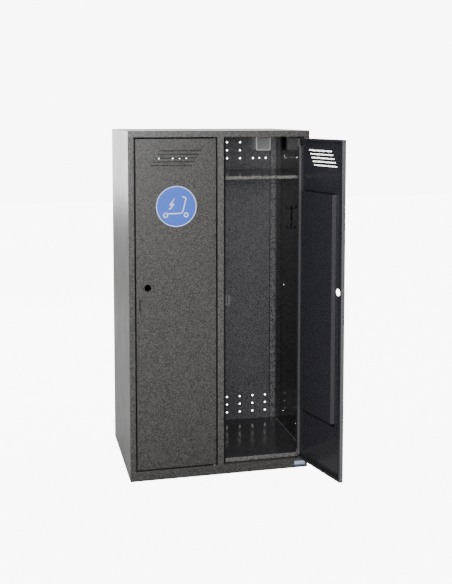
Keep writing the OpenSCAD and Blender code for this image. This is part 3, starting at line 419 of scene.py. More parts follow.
# Near-black finish for strips that stand as painted shadow.
painted_shadow = finish("black_painted_shadow", (0.004, 0.004, 0.004), (0.008, 0.008, 0.008), 0.6, 2.0, 0.02,
                 specular=0.05)
lines = []
for wall, side in CORNERS:
    x = wall + side * (ANGLE_W + SHADOW_W / 2)
    lines.append(block((x - SHADOW_W / 2, BACK_Y - SHADOW_T, FLOOR_TOP + 1),
                       (x + SHADOW_W / 2, BACK_Y, SHADOW_TOP), CUT_EDGE))
    x = wall + side * SHADOW_T / 2
    lines.append(block((x - SHADOW_T / 2, BACK_Y - ANGLE_LEG - SHADOW_W, FLOOR_TOP + 1),
                       (x + SHADOW_T / 2, BACK_Y - ANGLE_LEG, SHADOW_TOP), CUT_EDGE))
piece("angle_edge_shadows", joined(*lines), painted_shadow)

# Blind rivets of zinc-plated steel, four to an angle: a low dome on the angle, coated over with it,
# and a swaged tail behind the panel.
RIVET = [(0.7, -1.4), (1.7, -1.25), (2.5, -0.8), (3.04, -0.1), (3.04, 0), (1.6, 0), (1.6, 2.4), (2.5, 2.4),
         (2.4, 3.2), (1.4, 3.4)]
RIVET_IN = 9.0
RIVET_Z = 240 + np.arange(4) * 418.0

rivets = [turned(RIVET, (wall + side * (ANGLE_W - RIVET_IN), BACK_Y - SHEET, z), "y", 20)
          for wall, side in CORNERS for z in RIVET_Z]
piece("angle_rivets", joined(*rivets), angle_highlight_coat, replaces=["panel_rivets"])

# Top cap: a lid of sheet over the whole cabinet, with its rim folded down all round and its
# corners welded and ground round. It sits on the ceiling panel and leaves a hairline below it.
# It has the post's paler, glossier coat, a painted highlight.
CAP_TOP = 1800.0
CAP_REACH = 20.0
HAIRLINE = 0.8
SEAM = 1.0


def bent(points, radii, steps=4):
    """Open profile that keeps its two ends and takes an arc of the given radius at each corner."""
    arcs = rounded(points, [0.1, *radii, 0.1], steps).reshape(len(points), steps + 1, 2)
    return np.vstack([points[:1], arcs[1:-1].reshape(-1, 2), points[-1:]])


def pan(a, b, profile, corner, along, steps=4):
    """Pressed or folded pan: rounded rectangles between the spans a and b, each drawn in by the
    profile's inset at the profile's depth, with corner radius = corner - inset, 0.3 at least."""
    axis = "xyz".index(along)
    others = [i for i in range(3) if i != axis]
    layers = np.zeros((len(profile), 4 * (steps + 1), 3))
    for layer, (inset, depth) in zip(layers, profile):
        a0, a1, b0, b1 = a[0] + inset, a[1] - inset, b[0] + inset, b[1] - inset
        corners = [(a0, b0), (a1, b0), (a1, b1), (a0, b1)]
        layer[:, others] = rounded(corners, max(0.3, corner - inset), steps)
        layer[:, axis] = depth
    return loft(layers)


cap_foot = PANEL_TOP + HAIRLINE
cap_edge = bent([(CAP_REACH, CAP_TOP), (0, CAP_TOP), (0, cap_foot), (SHEET, cap_foot),
                 (SHEET, CAP_TOP - SHEET), (CAP_REACH, CAP_TOP - SHEET)],
                [BEND + SHEET, CUT_EDGE, CUT_EDGE, BEND])
cap = pan((-SIDE_X, SIDE_X), (FRONT_Y, REAR_Y), cap_edge, BEND + SHEET, "z")
seams = [block((x - SEAM, y - SEAM, PANEL_TOP - SEAM), (x + SEAM, y + SEAM, CAP_TOP - SHEET - BEND - SHEET))
         for x in (-SIDE_X, SIDE_X) for y in (FRONT_Y, REAR_Y)]
piece("top_cap_lid", cut_out(cap, *seams), hammered_highlight, replaces=["top_cap"])

# Floor trays: a sheet in each compartment with its rim folded down at the front and the sides.
# The coat is smooth and glossy on top, where it mirrors the walls, and rough on the front rim,
# where it is also painted much paler, as painted light against the shade of the recess.
FLOOR_RIM = 22.0
RIM_REAR = 226.0
COMPARTMENTS = (("left", -WALL_X, -HALF), ("right", HALF, WALL_X))

floor_coat = finish("floor_coat", (0.024, 0.023, 0.026), (0.07, 0.068, 0.076), 0.15, 4.0, 0.03, vary=0.03)
# Rough front-rim coat, painted much paler than the outside coat as painted light.
lip_coat_painted_light = finish("front_lip_painted_light", (0.04, 0.039, 0.037), (0.27, 0.262, 0.25), 0.36, 4.2, 0.45,
                  spots=(0.42, 0.60))
for name, low, high in COMPARTMENTS:
    tread = folded([(INSIDE_Y + HALF, FLOOR_TOP - FLOOR_RIM), (INSIDE_Y + HALF, FLOOR_TOP - HALF),
                    (BACK_Y, FLOOR_TOP - HALF)])
    rims = [block((x, INSIDE_Y + 2, FLOOR_TOP - FLOOR_RIM), (x + SHEET, RIM_REAR, FLOOR_TOP - 1), CUT_EDGE)
            for x in (low, high - SHEET)]
    tray = joined(prism(tread, low + CLEAR, high - CLEAR, "x"), *rims)
    tray_piece = piece(name + "_floor_tray", tray, floor_coat, replaces=[name + "_floor"])
    coat_faces(tray_piece, centres(tray)[:, 1] < INSIDE_Y + HALF, lip_coat_painted_light)

# Highlights on the floors' edges: a pale strip between each tray and the wall beside it, from
# behind the front rim to the corner angles, painted light as the highlight on the tray's folded edge.
BEAD_W = 2.5
BEAD_H = 1.2
BEAD_END = 4.0

bead_painted_highlight = finish("pale_painted_highlight", (0.34, 0.34, 0.36), (0.40, 0.40, 0.42), 0.4, 2.0, 0.02)
beads = []
for wall, side in CORNERS:
    x = wall + side * BEAD_W / 2
    beads.append(block((x - BEAD_W / 2, INSIDE_Y + BEAD_END, FLOOR_TOP),
                       (x + BEAD_W / 2, BACK_Y - ANGLE_LEG - BEAD_END, FLOOR_TOP + BEAD_H), 0.4, "y"))
piece("floor_edge_highlights", joined(*beads), bead_painted_highlight)

# Shelves: a sheet in each compartment with a rim folded down at the front and the rear, notched
# round the corner angles, resting on four small brackets. It has the floors' two coats.
SHELF_TOP = 1565.0
SHELF_RIM = 17.0
SHELF_GAP = 2.0
NOTCH_DEEP = 30.0
SHELF_FRONT = INSIDE_Y + 2
SHELF_REAR = BACK_Y - SHEET - 4

for name, low, high in COMPARTMENTS:
    ends = (low + SHELF_GAP, high - SHELF_GAP)
    board = folded([(SHELF_FRONT + HALF, SHELF_TOP - SHELF_RIM), (SHELF_FRONT + HALF, SHELF_TOP - HALF),
                    (SHELF_REAR - HALF, SHELF_TOP - HALF), (SHELF_REAR - HALF, SHELF_TOP - SHELF_RIM)])
    notches = [block((x - ANGLE_W, SHELF_REAR - 3, SHELF_TOP - NOTCH_DEEP),
                     (x + ANGLE_W, BACK_Y + PAST, SHELF_TOP - 2 * SHEET)) for x in ends]
    notches += [block((x - SHEET, BACK_Y - ANGLE_LEG - SHELF_GAP, SHELF_TOP - 2.3),
                      (x + SHEET, BACK_Y + PAST, SHELF_TOP + PAST)) for x in ends]
    shelf = prism(board, *ends, "x")
    for notch in notches:
        shelf = cut_out(shelf, notch)
    shelf_piece = piece(name + "_folded_shelf", shelf, floor_coat, replaces=[name + "_shelf"])
    coat_faces(shelf_piece, centres(shelf)[:, 1] < SHELF_FRONT + HALF, lip_coat_painted_light)

# Shelf brackets: short folded angles of 2 mm steel, welded to the walls under each shelf, two at
# the front and two at the rear, and coated with the inside.
EAR_LEG = 20.0
EAR_T = 2.0
EAR_L = 30.0
EAR_IN = 60.0

top = SHELF_TOP - SHEET
ears = []
for wall, side in CORNERS:
    x = wall + side * EAR_T / 2
    ear = folded([(x, top - EAR_LEG), (x, top - EAR_T / 2),
                  (wall + side * EAR_LEG, top - EAR_T / 2)], EAR_T)
    ears += [prism(ear, y, y + EAR_L, "y") for y in (INSIDE_Y + EAR_IN, BACK_Y - ANGLE_LEG - EAR_IN)]
piece("shelf_ears", joined(*ears), inside, replaces=["shelf_brackets"])

# Doors: a pan of sheet with the lip folded in behind its edge, punched with five leaning rows of
# obround vents, the lock's hole and the staple's slot. The lip is notched at both hinge pins. The
# hammered coat outside is a darker, less glossy copy of the outside coat, painted shade; the back
# is satin, and the pan's side walls are paler, a painted highlight.
LEFT_PIVOT = -32.0
RIGHT_PIVOT = 430.0
PIVOT_Y = -352.0
RIGHT_OPEN = np.radians(103.7)
DOORS = (("left_door", False), ("right_door", True))
DOOR_X = (-406.0, 8.0)
DOOR_Z = (59.0, 1760.5)
SKIN_Y = FRONT_Y - PIVOT_Y
SKIN_BACK = SKIN_Y + SHEET
LIP_Y = 14.0
LIP_W = 12.0
PAN_REACH = 16.0
THROUGH = (-10.0, -5.0)
VENT_ROWS = 5
VENT_COUNT = 18
VENT_PITCH = 11.8
VENT_ROW = 18.5
VENT_W = 7.2
VENT_H = 7.8
VENT_MID = (-199.0, 1662.5)
LOCK_R = 17.5
LOCK_AT = (-347.5, 0, 1005)
STAPLE = [(0, 0), (11, 0), (11, 5), (5, 5), (5, 52), (11, 52), (11, 57), (0, 57)]
STAPLE_AT = (-391.0, 888.0)
PIN_NOTCH = 42.0


def round_slot(x, z, w, h, y0, y1, steps=6):
    """An upright slot with round ends: half circles of radius w / 2 about z +- (h - w) / 2."""
    a = np.linspace(0, np.pi, steps + 1)
    top = np.stack([x + w / 2 * np.cos(a), z + (h - w) / 2 + w / 2 * np.sin(a)], 1)
    return prism(np.vstack([top, 2 * np.array([x, z]) - top]), y0, y1, "y")


def hung(shape, right):
    """A door's piece from hinge coordinates to its place: the left door shut, the right one open."""
    verts, faces = shape
    turn = RIGHT_OPEN if right else 0.0
    pivot = (RIGHT_PIVOT if right else LEFT_PIVOT, PIVOT_Y, 0)
    c, s = np.cos(turn), np.sin(turn)
    return verts @ np.array([(c, s, 0), (-s, c, 0), (0, 0, 1)]) + pivot, faces


edge = bent([(PAN_REACH, SKIN_Y), (0, SKIN_Y), (0, LIP_Y), (LIP_W, LIP_Y), (LIP_W, LIP_Y - SHEET),
             (SHEET, LIP_Y - SHEET), (SHEET, SKIN_BACK), (PAN_REACH, SKIN_BACK)],
            [BEND + SHEET, BEND + SHEET, 0.3, 0.3, BEND, BEND])
row, col = np.meshgrid(np.arange(VENT_ROWS) - (VENT_ROWS - 1) / 2,
                       np.arange(VENT_COUNT) - (VENT_COUNT - 1) / 2, indexing="ij")
vent_x = VENT_MID[0] + (col + row) * VENT_PITCH
vent_z = VENT_MID[1] + row * VENT_ROW
punches = [round_slot(x, z, VENT_W, VENT_H, *THROUGH) for x, z in zip(vent_x.ravel(), vent_z.ravel())]
punches.append(turned([(LOCK_R, y) for y in THROUGH], LOCK_AT, "y", 48))
punches.append(prism(np.array(STAPLE) + STAPLE_AT, *THROUGH, "y"))
punches += [block((-LIP_W - 0.5, SKIN_BACK + 0.1, z), (6.7, LIP_Y + 2, z + PIN_NOTCH), 0.5)
            for z in (DOOR_Z[0] + SHEET, DOOR_Z[1] - SHEET - PIN_NOTCH)]
door = cut_out(pan(DOOR_X, DOOR_Z, edge, 2.0, "y"), *punches)

satin = finish("door_inside_coat", (0.016, 0.016, 0.019), (0.048, 0.049, 0.056), 0.18, 4.0, 0.02, vary=0.03)
# Pale coat for the pan's side walls: a painted highlight where they catch the light.
fold_edge_highlight = finish("fold_edge_painted_highlight", (0.10, 0.10, 0.104), (0.145, 0.145, 0.15), 0.34, 4.0, 0.04)
# The outside coat made darker and less glossy: painted shade on the doors' fronts.
hammered_shaded = finish("hammered_painted_shade_coat", (0.0075, 0.0075, 0.0066), (0.129, 0.1235, 0.118),
                       specular=0.42, **HAMMER)
middle = centres(door)
at_ends = (middle[:, 0] > DOOR_X[1] - 2.5) | (middle[:, 0] < DOOR_X[0] + 0.5)
highlit_side_walls = at_ends & (middle[:, 1] > SKIN_Y + 0.5) & (middle[:, 1] < LIP_Y - 1.5)
backs = ((np.abs(middle[:, 1] - SKIN_BACK) < 0.2) | (middle[:, 1] > LIP_Y - 1.5)) & ~highlit_side_walls
for name, right in DOORS:
    coat_faces(piece(name + "_pan", hung(door, right), hammered_shaded, name, [name]),
               backs + 2 * highlit_side_walls, satin, fold_edge_highlight)

# Door stiffeners: a long shallow pan pressed from sheet and spot welded to the door's skin, with a
# narrow ledge and a foot along its free side. It has the satin coat, painted paler on the free side
# as a highlight.
FOOT_Z = 332.25
HEAD_Z = 1487.25
PRESSING = ((-6.8, -329, -28, -1, 2), (-5.6, -329, -28, -1, 2), (-5.6, -324.6, -35.6, -0.6, 1.6),
            (-5.0, -324, -36, -0.4, 1.4), (3.0, -324, -36, -0.2, 1.2), (3.6, -323.4, -36, 0, 1.2),
            (3.6, -320.6, -36, 0, 1.2), (4.2, -320, -36, 0, 1.2), (12.4, -320, -36, 0, 1.2),
            (13.5, -319.5, -36.5, 0.5, 1.4), (14.0, -318.4, -37.6, 1.6, 2))


def ring_at(y, x0, x1, z0, z1, low_r, top_r):
    """A rounded rectangle at the depth y, with one radius for its lower and one for its upper corners."""
    ring = np.zeros((20, 3))
    ring[:, (0, 2)] = rounded([(x0, z0), (x1, z0), (x1, z1), (x0, z1)], [low_r, low_r, top_r, top_r])
    ring[:, 1] = y
    return ring


stiffener = loft(np.array([ring_at(y, x0, x1, FOOT_Z + drawn, HEAD_Z - drawn, r, r)
                           for y, x0, x1, drawn, r in PRESSING]))
# The satin coat painted paler: a highlight on the stiffener's free side.
ledge_painted_highlight = finish("ledge_painted_highlight", (0.055, 0.055, 0.058), (0.085, 0.085, 0.09), 0.34, 4.0, 0.04)
middle = centres(stiffener)
highlit_free_side = (middle[:, 0] < -319) & (middle[:, 1] > -5.5)
for name, right in DOORS:
    pressed = piece(name + "_pressed_stiffener", hung(stiffener, right), satin, name,
                    [name + "_stiffener"])
    coat_faces(pressed, highlit_free_side, ledge_painted_highlight)

# Shadows of the stiffeners: a thin dark strip of painted shadow on the door's skin above and below
# each one, taller below, where the stiffener hides its upper part from the front.
SHADOW_SPAN = (-328.0, -30.0)
SHADOW_Z = ((FOOT_Z - 18.0, FOOT_Z), (HEAD_Z, HEAD_Z + 5.0))

bands = [block((SHADOW_SPAN[0], SKIN_BACK, z0), (SHADOW_SPAN[1], SKIN_BACK + SHADOW_T, z1), CUT_EDGE)
         for z0, z1 in SHADOW_Z]
for name, right in DOORS:
    piece(name + "_stiffener_shadows", hung(joined(*bands), right), painted_shadow, name)

# Hinges: zinc-plated pins riveted into the base rail with a collar under each door, flanged nylon
# bushes, and at the top a pin of dark phosphated steel that stands in the door's edge and in a
# small welded bracket of the same finish.
PIN = [(5.2, 47.8), (5.5, 48.1), (5.5, 49.8), (4, 49.8), (4, 51), (6.2, 51), (6.5, 51.3), (6.5, 56.9),
       (6.2, 57.2), (4, 57.2), (4, 80), (3.2, 81)]
CEILING_BUSH = [(4.05, 1766.5), (7.3, 1766.5), (7.5, 1766.7), (7.5, 1768), (6, 1768), (6, 1772.8),
                (5.6, 1773.2), (4.05, 1773.2)]
DOOR_BUSH = [(4.05, 57.5), (7.3, 57.5), (7.5, 57.7), (7.5, 59), (6, 59), (6, 70.6), (5.6, 71), (4.05, 71)]
TOP_PIN = [(3.4, 1724.5), (4, 1725.1), (4, 1734.5), (5.3, 1734.5), (5.5, 1734.7), (5.5, 1736.3),
           (5.3, 1736.5), (4, 1736.5), (4, 1774.4), (3.2, 1775.2)]
STAY = [(-6.0, 1716.5), (-6.0, 1733.5), (7, 1733.5)]
STAY_T = 1.6
STAY_HALF = 6.75

zinc = finish("zinc_plate", (0.42, 0.42, 0.43), (0.78, 0.78, 0.78), 0.3, 1.6, 0.02, metal=1.0)
nylon = finish("black_nylon", (0.012, 0.012, 0.013), (0.03, 0.03, 0.032), 0.42, 1.2, 0.03)
steel = finish("phosphated_steel", (0.02, 0.02, 0.02), (0.05, 0.05, 0.05), 0.5, 1.4, 0.02, metal=1.0)
pivots = [(x, PIVOT_Y, 0) for x in (LEFT_PIVOT, RIGHT_PIVOT)]
piece("lower_pins", joined(*[turned(PIN, pivot) for pivot in pivots]), zinc,
      replaces=["lower_hinge_pins"])
piece("upper_bushes", joined(*[turned(CEILING_BUSH, pivot, closed=True) for pivot in pivots]), nylon,
      replaces=["upper_hinge_bushes"])
stay = prism(folded(STAY, STAY_T, 1.5), -STAY_HALF, STAY_HALF, "x")
for name, right in DOORS:
    piece(name + "_lower_bush", hung(turned(DOOR_BUSH, (0, 0, 0), closed=True), right), nylon, name,
          [name + "_bush"])
    piece(name + "_upper_pin", hung(turned(TOP_PIN, (0, 0, 0)), right), steel, name,
          [name + "_pin"])
    piece(name + "_pin_stay", hung(stay, right), steel, name, [name + "_pin_bracket"])

# Strike plates: tabs of 2 mm steel welded behind the lock stops and coated with the inside, each
# with an upright slot for the bolt.
STRIKES = (("left", -431.0), ("right", 31.0))
STRIKE_T = 2.0
STRIKE_X = (-12.0, 25.0)
STRIKE_Z = (890.0, 943.0)
BOLT_SLOT = (11.0, 916.5, 7.0, 37.0)

for name, stop in STRIKES:
    x0, x1 = stop + STRIKE_X[0], stop + STRIKE_X[1]
    z0, z1 = STRIKE_Z
    tab = prism(rounded([(x0, z0), (x1, z0), (x1, z1), (x0, z1)], [0.5, 4, 4, 0.5]),
                INSIDE_Y, INSIDE_Y + STRIKE_T, "y")
    along, height, wide, tall = BOLT_SLOT
    tab = cut_out(tab, round_slot(stop + along, height, wide, tall, INSIDE_Y - 1, INSIDE_Y + STRIKE_T + 1))
    piece(name + "_strike_tab", tab, inside, replaces=[name + "_strike_plate"],
          bevel=0.25)

# Buffers: plugs of black rubber pushed into holes in the lock stops, which the doors close
# against, one low and one high at each door.
BUFFER = [(2.2, -3.7), (3.2, -3.4), (3.8, -2.6), (4, -1.4), (4, 0), (2, 0), (2, 1.2), (2.8, 1.4),
          (2.6, 2.6), (1.6, 3.2)]
BUFFER_X = (-435.5, 26.5)
BUFFER_Z = (211.0, 1598.0)

rubber = finish("black_rubber", (0.010, 0.010, 0.010), (0.024, 0.024, 0.024), 0.7, 1.0, 0.03)
plugs = [turned(BUFFER, (x, STOP_Y, z), "y", 24) for x in BUFFER_X for z in BUFFER_Z]
piece("buffer_plugs", joined(*plugs), rubber, replaces=["door_buffers"])

# Coat hooks: a strip of dark coated steel on the right wall of each compartment, with two hooks
# bent out of it, held by two bright rivets.
HOOK_Y = -49.0
HOOK_HALF = 9.0
HOOK_T = 3.0
HOOK_FOOT = 1249.0
HOOK_L = 130.0
HOOK_RIVET = 35.0
HOOKS = ((1.5, 24.5, 14.0), (111.5, 28.5, 130.0))

hook_coat = finish("hook_coat", (0.004, 0.004, 0.005), (0.010, 0.010, 0.011), 0.28, 2.0, 0.02, specular=0.1)
domes = []
for name, wall in (("left", -HALF), ("right", WALL_X)):
    shapes = [block((wall - HOOK_T, HOOK_Y - HOOK_HALF, HOOK_FOOT),
                    (wall, HOOK_Y + HOOK_HALF, HOOK_FOOT + HOOK_L), 4.0, "x")]
    for rise, reach, tip in HOOKS:
        path = [(wall, HOOK_FOOT + rise), (wall - reach, HOOK_FOOT + rise), (wall - reach, HOOK_FOOT + tip)]
        shapes.append(prism(folded(path, HOOK_T, 3.0), HOOK_Y - HOOK_HALF, HOOK_Y + HOOK_HALF, "y"))
    piece(name + "_bent_coat_hook", joined(*shapes), hook_coat, replaces=[name + "_coat_hook"],
          bevel=0.5)
    domes += [turned(RIVET, (wall - HOOK_T, HOOK_Y, z), "x", 20)
              for z in (HOOK_FOOT + HOOK_RIVET, HOOK_FOOT + HOOK_L - HOOK_RIVET)]
piece("hook_rivet_heads", joined(*domes), zinc, replaces=["hook_rivets"])

# Socket housings: grey moulded boxes on the back panel above the shelf, open at the rear, with a
# framed opening in front for the flap, and two lugs inside for its pin.
SOCKETS = (("left", -93.6), ("right", 380.8))
SOCKET_FOOT = 1674.0
SHELL = ((0, 45.5, 0, 86, 9, 9), (-58.5, 45.5, 0, 86, 9, 9), (-60.2, 45.1, 0.4, 85.6, 8.6, 8.6),
         (-61.5, 43.9, 1.6, 84.4, 7.4, 7.4), (-62, 42, 3.5, 82.5, 5.5, 5.5),
         (-62, 36.6, 8.9, 77.6, 4.6, 0.6), (-61.6, 36.1, 9.4, 77.1, 4.1, 0.5),
         (-61, 36, 9.5, 77, 4, 0.5), (-59, 36, 9.5, 77, 4, 0.5),
         (-59, 42.5, 3, 83, 6, 6), (0, 42.5, 3, 83, 6, 6))
LUG_W = 5.5

socket_grey = finish("socket_plastic", (0.72, 0.72, 0.73), (0.80, 0.80, 0.81), 0.25, 0.8, 0.012)
housing = loft(np.array([ring_at(y, -half, half, z0, z1, low_r, top_r)
                         for y, half, z0, z1, low_r, top_r in SHELL]), closed=True)
lugs = [block((x, -59, 66.5), (x + LUG_W, -51.5, 76.5), 1.0, "x") for x in (-42.5, 42.5 - LUG_W)]
for name, x in SOCKETS:
    piece(name + "_socket_housing", moved(joined(housing, *lugs), (x, BACK_Y, SOCKET_FOOT)), socket_grey,
          replaces=[name + "_socket_box"])

# Socket flaps: spring-shut covers of darker grey plastic, hung by two barrels on a steel pin, with
# a finger notch at the lower edge.
COVER_HALF = 35.5
COVER_Z = (10.0, 74.0)
BARREL_AT = (0, -57.5, 71.5)
BARREL_IN = 7.0

flap_grey = finish("flap_plastic", (0.33, 0.33, 0.34), (0.40, 0.40, 0.41), 0.22, 0.8, 0.012)
cover_edge = bent([(6, -62), (0, -62), (0, -57), (3, -57), (3, -60), (6, -60)], [0.9, 0.4, 0.3, 0.3])
cover = pan((-COVER_HALF, COVER_HALF), COVER_Z, cover_edge, 3.5, "y")
cover = cut_out(cover, block((-12, -64, 8), (12, -61.2, 12.5), 0.4, "y"))
barrels = [turned([(1.55, a), (3.7, a), (4, a + 0.3), (4, b - 0.3), (3.7, b), (1.55, b)],
                  BARREL_AT, "x", 28, True)
           for a, b in ((-COVER_HALF, -BARREL_IN), (BARREL_IN, COVER_HALF))]
for name, x in SOCKETS:
    piece(name + "_flap_cover", moved(joined(cover, *barrels), (x, BACK_Y, SOCKET_FOOT)), flap_grey,
          name + "_flap", [name + "_socket_flap"])

# Inserts, flap pins and springs: small bought-in parts inside the housings, moulded in grey or of
# zinc-plated steel. They keep their CAD shape and only take their finish here.
insert_grey = finish("insert_plastic", (0.5, 0.5, 0.51), (0.6, 0.6, 0.61), 0.3, 0.8, 0.01)
for name, material in (("left_socket_insert", insert_grey), ("right_socket_insert", insert_grey),
                       ("left_flap_pin", zinc), ("right_flap_pin", zinc), ("flap_springs", zinc)):
    nodes[name].data.materials.clear()
    nodes[name].data.materials.append(material)

# Junction box: a grey moulded box screwed to the rear of the back panel, with its lid and four
# slotted screws, and a gland below for the mains cable.
BOX_X = 103.6
BOX_Z = 1707.8
BOX_HALF = 55.0
BOX_DEEP = 48.0
SCREW_OUT = 48.0
PANEL_REAR = BACK_Y + SHEET
LID_Y = PANEL_REAR + BOX_DEEP
SCREW = [(1.7, -12), (1.7, 5), (3.3, 5), (3.5, 5.3), (3.5, 6.4), (3.1, 7)]
HEXAGON = [(10.5, -6), (12, -5.3), (12, -0.2), (11.4, 0)]
DOME = [(5, -26), (7, -26), (8.3, -24.5), (9.2, -21.5), (9.5, -19), (9.5, -6), (5, -6)]
THREAD = [(5, -6), (8, -6), (8, 11), (5, 11)]
NUT = [(11, 2.5), (11.5, 2.9), (11.5, 6.1), (11, 6.5)]
GLAND_AT = (BOX_X, PANEL_REAR + BOX_DEEP / 2, BOX_Z - BOX_HALF)

box_grey = finish("box_plastic", (0.42, 0.42, 0.43), (0.5, 0.5, 0.51), 0.42, 1.0, 0.03)
span_x = (BOX_X - BOX_HALF, BOX_X + BOX_HALF)
span_z = (BOX_Z - BOX_HALF, BOX_Z + BOX_HALF)
box_edge = bent([(6, PANEL_REAR), (0.6, PANEL_REAR), (0, LID_Y - 0.1), (2.5, LID_Y - 0.1),
                 (2.5, PANEL_REAR + 3), (6, PANEL_REAR + 3)], [1.5, 0.4, 0.4, 1.0])
box = pan(span_x, span_z, box_edge, 4.0, "y")
piece("junction_box_base", box, box_grey, replaces=["junction_box"])
lid_edge = bent([(12, LID_Y), (0.2, LID_Y), (0, LID_Y + 5), (12, LID_Y + 5)], [0.4, 1.6])
box_lid = pan(span_x, span_z, lid_edge, 4.0, "y")
piece("junction_lid", box_lid, box_grey, replaces=["junction_box_lid"])
screws = [cut_out(turned(SCREW, (x, LID_Y, z), "y", 28),
                  block((x - 0.5, LID_Y + 6, z - 5), (x + 0.5, LID_Y + 9, z + 5), 0.1))
          for x in (BOX_X - SCREW_OUT, BOX_X + SCREW_OUT) for z in (BOX_Z - SCREW_OUT, BOX_Z + SCREW_OUT)]
piece("lid_screws", joined(*screws), zinc, replaces=["junction_box_screws"])
gland = joined(turned(HEXAGON, GLAND_AT, n=6), turned(DOME, GLAND_AT, closed=True),
               turned(THREAD, GLAND_AT, closed=True), turned(NUT, GLAND_AT, n=6))
piece("cable_gland", gland, box_grey, replaces=["inlet_gland"])

# Supply leads: sheathed cable from the junction box along the back panel, bent forward through a
# rubber grommet into each housing, and held off the panel by two clips each.
LEAD_R = 4.5
LEAD_Y = PANEL_REAR + 16
LEAD_Z = 1697.0
LEAD_BEND = 14.0
LEAD_START = 43.0
LEAD_END = 18.0
CLIP_X = (SOCKETS[0][1] + 45, BOX_X - 95, BOX_X + 95, SOCKETS[1][1] - 45)
GROMMET = [(4.55, -1.5), (8.4, -1.5), (9, -1), (9, 0), (6.95, 0), (6.95, 1.2), (9, 1.2), (9, 2.2),
           (8.4, 2.7), (4.55, 2.7)]


def tube(path, radius, n=20):
    """A round tube on a path in a level plane: rings of the radius across the path's direction."""
    p = np.asarray(path, float)
    d = np.gradient(p, axis=0)
    d /= np.linalg.norm(d, axis=1)[:, None]
    a = np.linspace(0, 2 * np.pi, n, endpoint=False)[None, :, None]
    side = np.stack([-d[:, 1], d[:, 0], np.zeros(len(p))], 1)[:, None]
    return loft(p[:, None] + radius * (np.cos(a) * side + np.sin(a) * np.array([0, 0, 1.0])))


sheath = finish("cable_sheath", (0.015, 0.015, 0.016), (0.03, 0.03, 0.032), 0.4, 1.5, 0.02)
for name, x in SOCKETS:
    way = 1 if x > BOX_X else -1
    turn = x - way * LEAD_BEND
    a = np.linspace(0, np.pi / 2, 9)
    run = np.linspace(BOX_X + way * LEAD_START, turn, 12)[:-1]
    straight = np.stack([run, np.full_like(run, LEAD_Y)], 1)
    curve = np.stack([turn + way * LEAD_BEND * np.sin(a), LEAD_Y - LEAD_BEND + LEAD_BEND * np.cos(a)], 1)
    in_box = LEAD_Y - LEAD_BEND - np.linspace(LEAD_R, LEAD_END, 4)
    stub = np.stack([np.full_like(in_box, x), in_box], 1)
    level = np.vstack([straight, curve, stub])
    lead = tube(np.column_stack([level, np.full(len(level), LEAD_Z)]), LEAD_R)
    piece(name + "_lead_cable", lead, sheath, replaces=[name + "_supply_lead"])
clips = [block((x - 6, PANEL_REAR, LEAD_Z - 8.5), (x + 6, LEAD_Y + 6.5, LEAD_Z + 8.5), 3.0, "x")
         for x in CLIP_X]
piece("cable_clips", joined(*clips), nylon, replaces=["lead_clips"], bevel=0.5)
grommets = [turned(GROMMET, (x, BACK_Y, LEAD_Z), "y", 32, True) for _, x in SOCKETS]
piece("cable_grommets", joined(*grommets), rubber, replaces=["lead_grommets"])

# Round sign on the left door: a blue vinyl disc with a white edge and a plain pictogram of a kick
# scooter under a lightning bolt, printed on top.
SIGN_AT = (-231.0, 1417.5)
SIGN_R = 105.0
SIGN_Y = FRONT_Y - 1.0
PRINT_RISE = 0.3
PRINT_SINK = 0.2
SCOOTER = [(-58, -30), (-40, -36), (22, -36), (34, -24), (50, 44), (30, 50)]
WHEELS = (-56, 50)
WHEEL_Z = -44
BOLT = [(-30, -14), (-8, 14), (-22, 14), (-6, 48), (-38, 6), (-24, 6), (-40, -14)]


def printed(outline):
    """An outline about the sign's middle, as a thin raised print on the disc."""
    return prism(np.asarray(outline) + SIGN_AT, SIGN_Y - PRINT_RISE, SIGN_Y + PRINT_SINK, "y")


def hoop(x, z, inner, outer):
    """A printed ring about a point on the sign: a flat band turned round it."""
    band = [(inner, SIGN_Y + PRINT_SINK), (outer, SIGN_Y + PRINT_SINK), (outer, SIGN_Y - PRINT_RISE),
            (inner, SIGN_Y - PRINT_RISE)]
    return turned(band, (SIGN_AT[0] + x, 0, SIGN_AT[1] + z), "y", 72, True)


sign_blue = finish("sign_blue_vinyl", (0.04, 0.145, 0.76), (0.05, 0.16, 0.82), 0.35, 3.0, 0.01)
sign_white = finish("sign_white_print", (0.88, 0.89, 0.92), (0.93, 0.93, 0.95), 0.35, 3.0, 0.01)
disc = [(SIGN_R - 1, FRONT_Y), (SIGN_R, FRONT_Y - 0.2), (SIGN_R, SIGN_Y + 0.2), (SIGN_R - 0.3, SIGN_Y)]
piece("sign_disc", turned(disc, (SIGN_AT[0], 0, SIGN_AT[1]), "y", 96), sign_blue, "left_door",
      ["left_door_sign"])
picture = [hoop(0, 0, SIGN_R - 5.2, SIGN_R - 1.2), *[hoop(x, WHEEL_Z, 7, 13) for x in WHEELS],
           printed(folded(SCOOTER, 6.0, 3.0)), printed(BOLT)]
piece("sign_print", joined(*picture), sign_white, "left_door")

# Small plate at the right end of the base rail: a bare plastic strip in two tones, glued on, with a
# pale field on a blue base.
PLATE = [(401, 12.5), (463, 12.5), (463, 38.5), (401, 38.5)]
FIELD = [(404, 19), (460, 19), (460, 35), (404, 35)]
PLATE_T = 0.45
FIELD_T = 0.6

plate_blue = finish("plate_blue", (0.10, 0.16, 0.36), (0.13, 0.2, 0.42), 0.35, 2.0, 0.01)
plate_pale = finish("plate_pale", (0.5, 0.54, 0.62), (0.62, 0.66, 0.73), 0.35, 2.0, 0.01)
plate = prism(rounded(PLATE, 3.0), FRONT_Y - PLATE_T, FRONT_Y, "y")
piece("blank_plate_base", plate, plate_blue, replaces=["blank_plate"], bevel=0.15)
field = prism(rounded(FIELD, 2.0), FRONT_Y - FIELD_T, FRONT_Y - 0.4, "y")
piece("blank_plate_field", field, plate_pale)

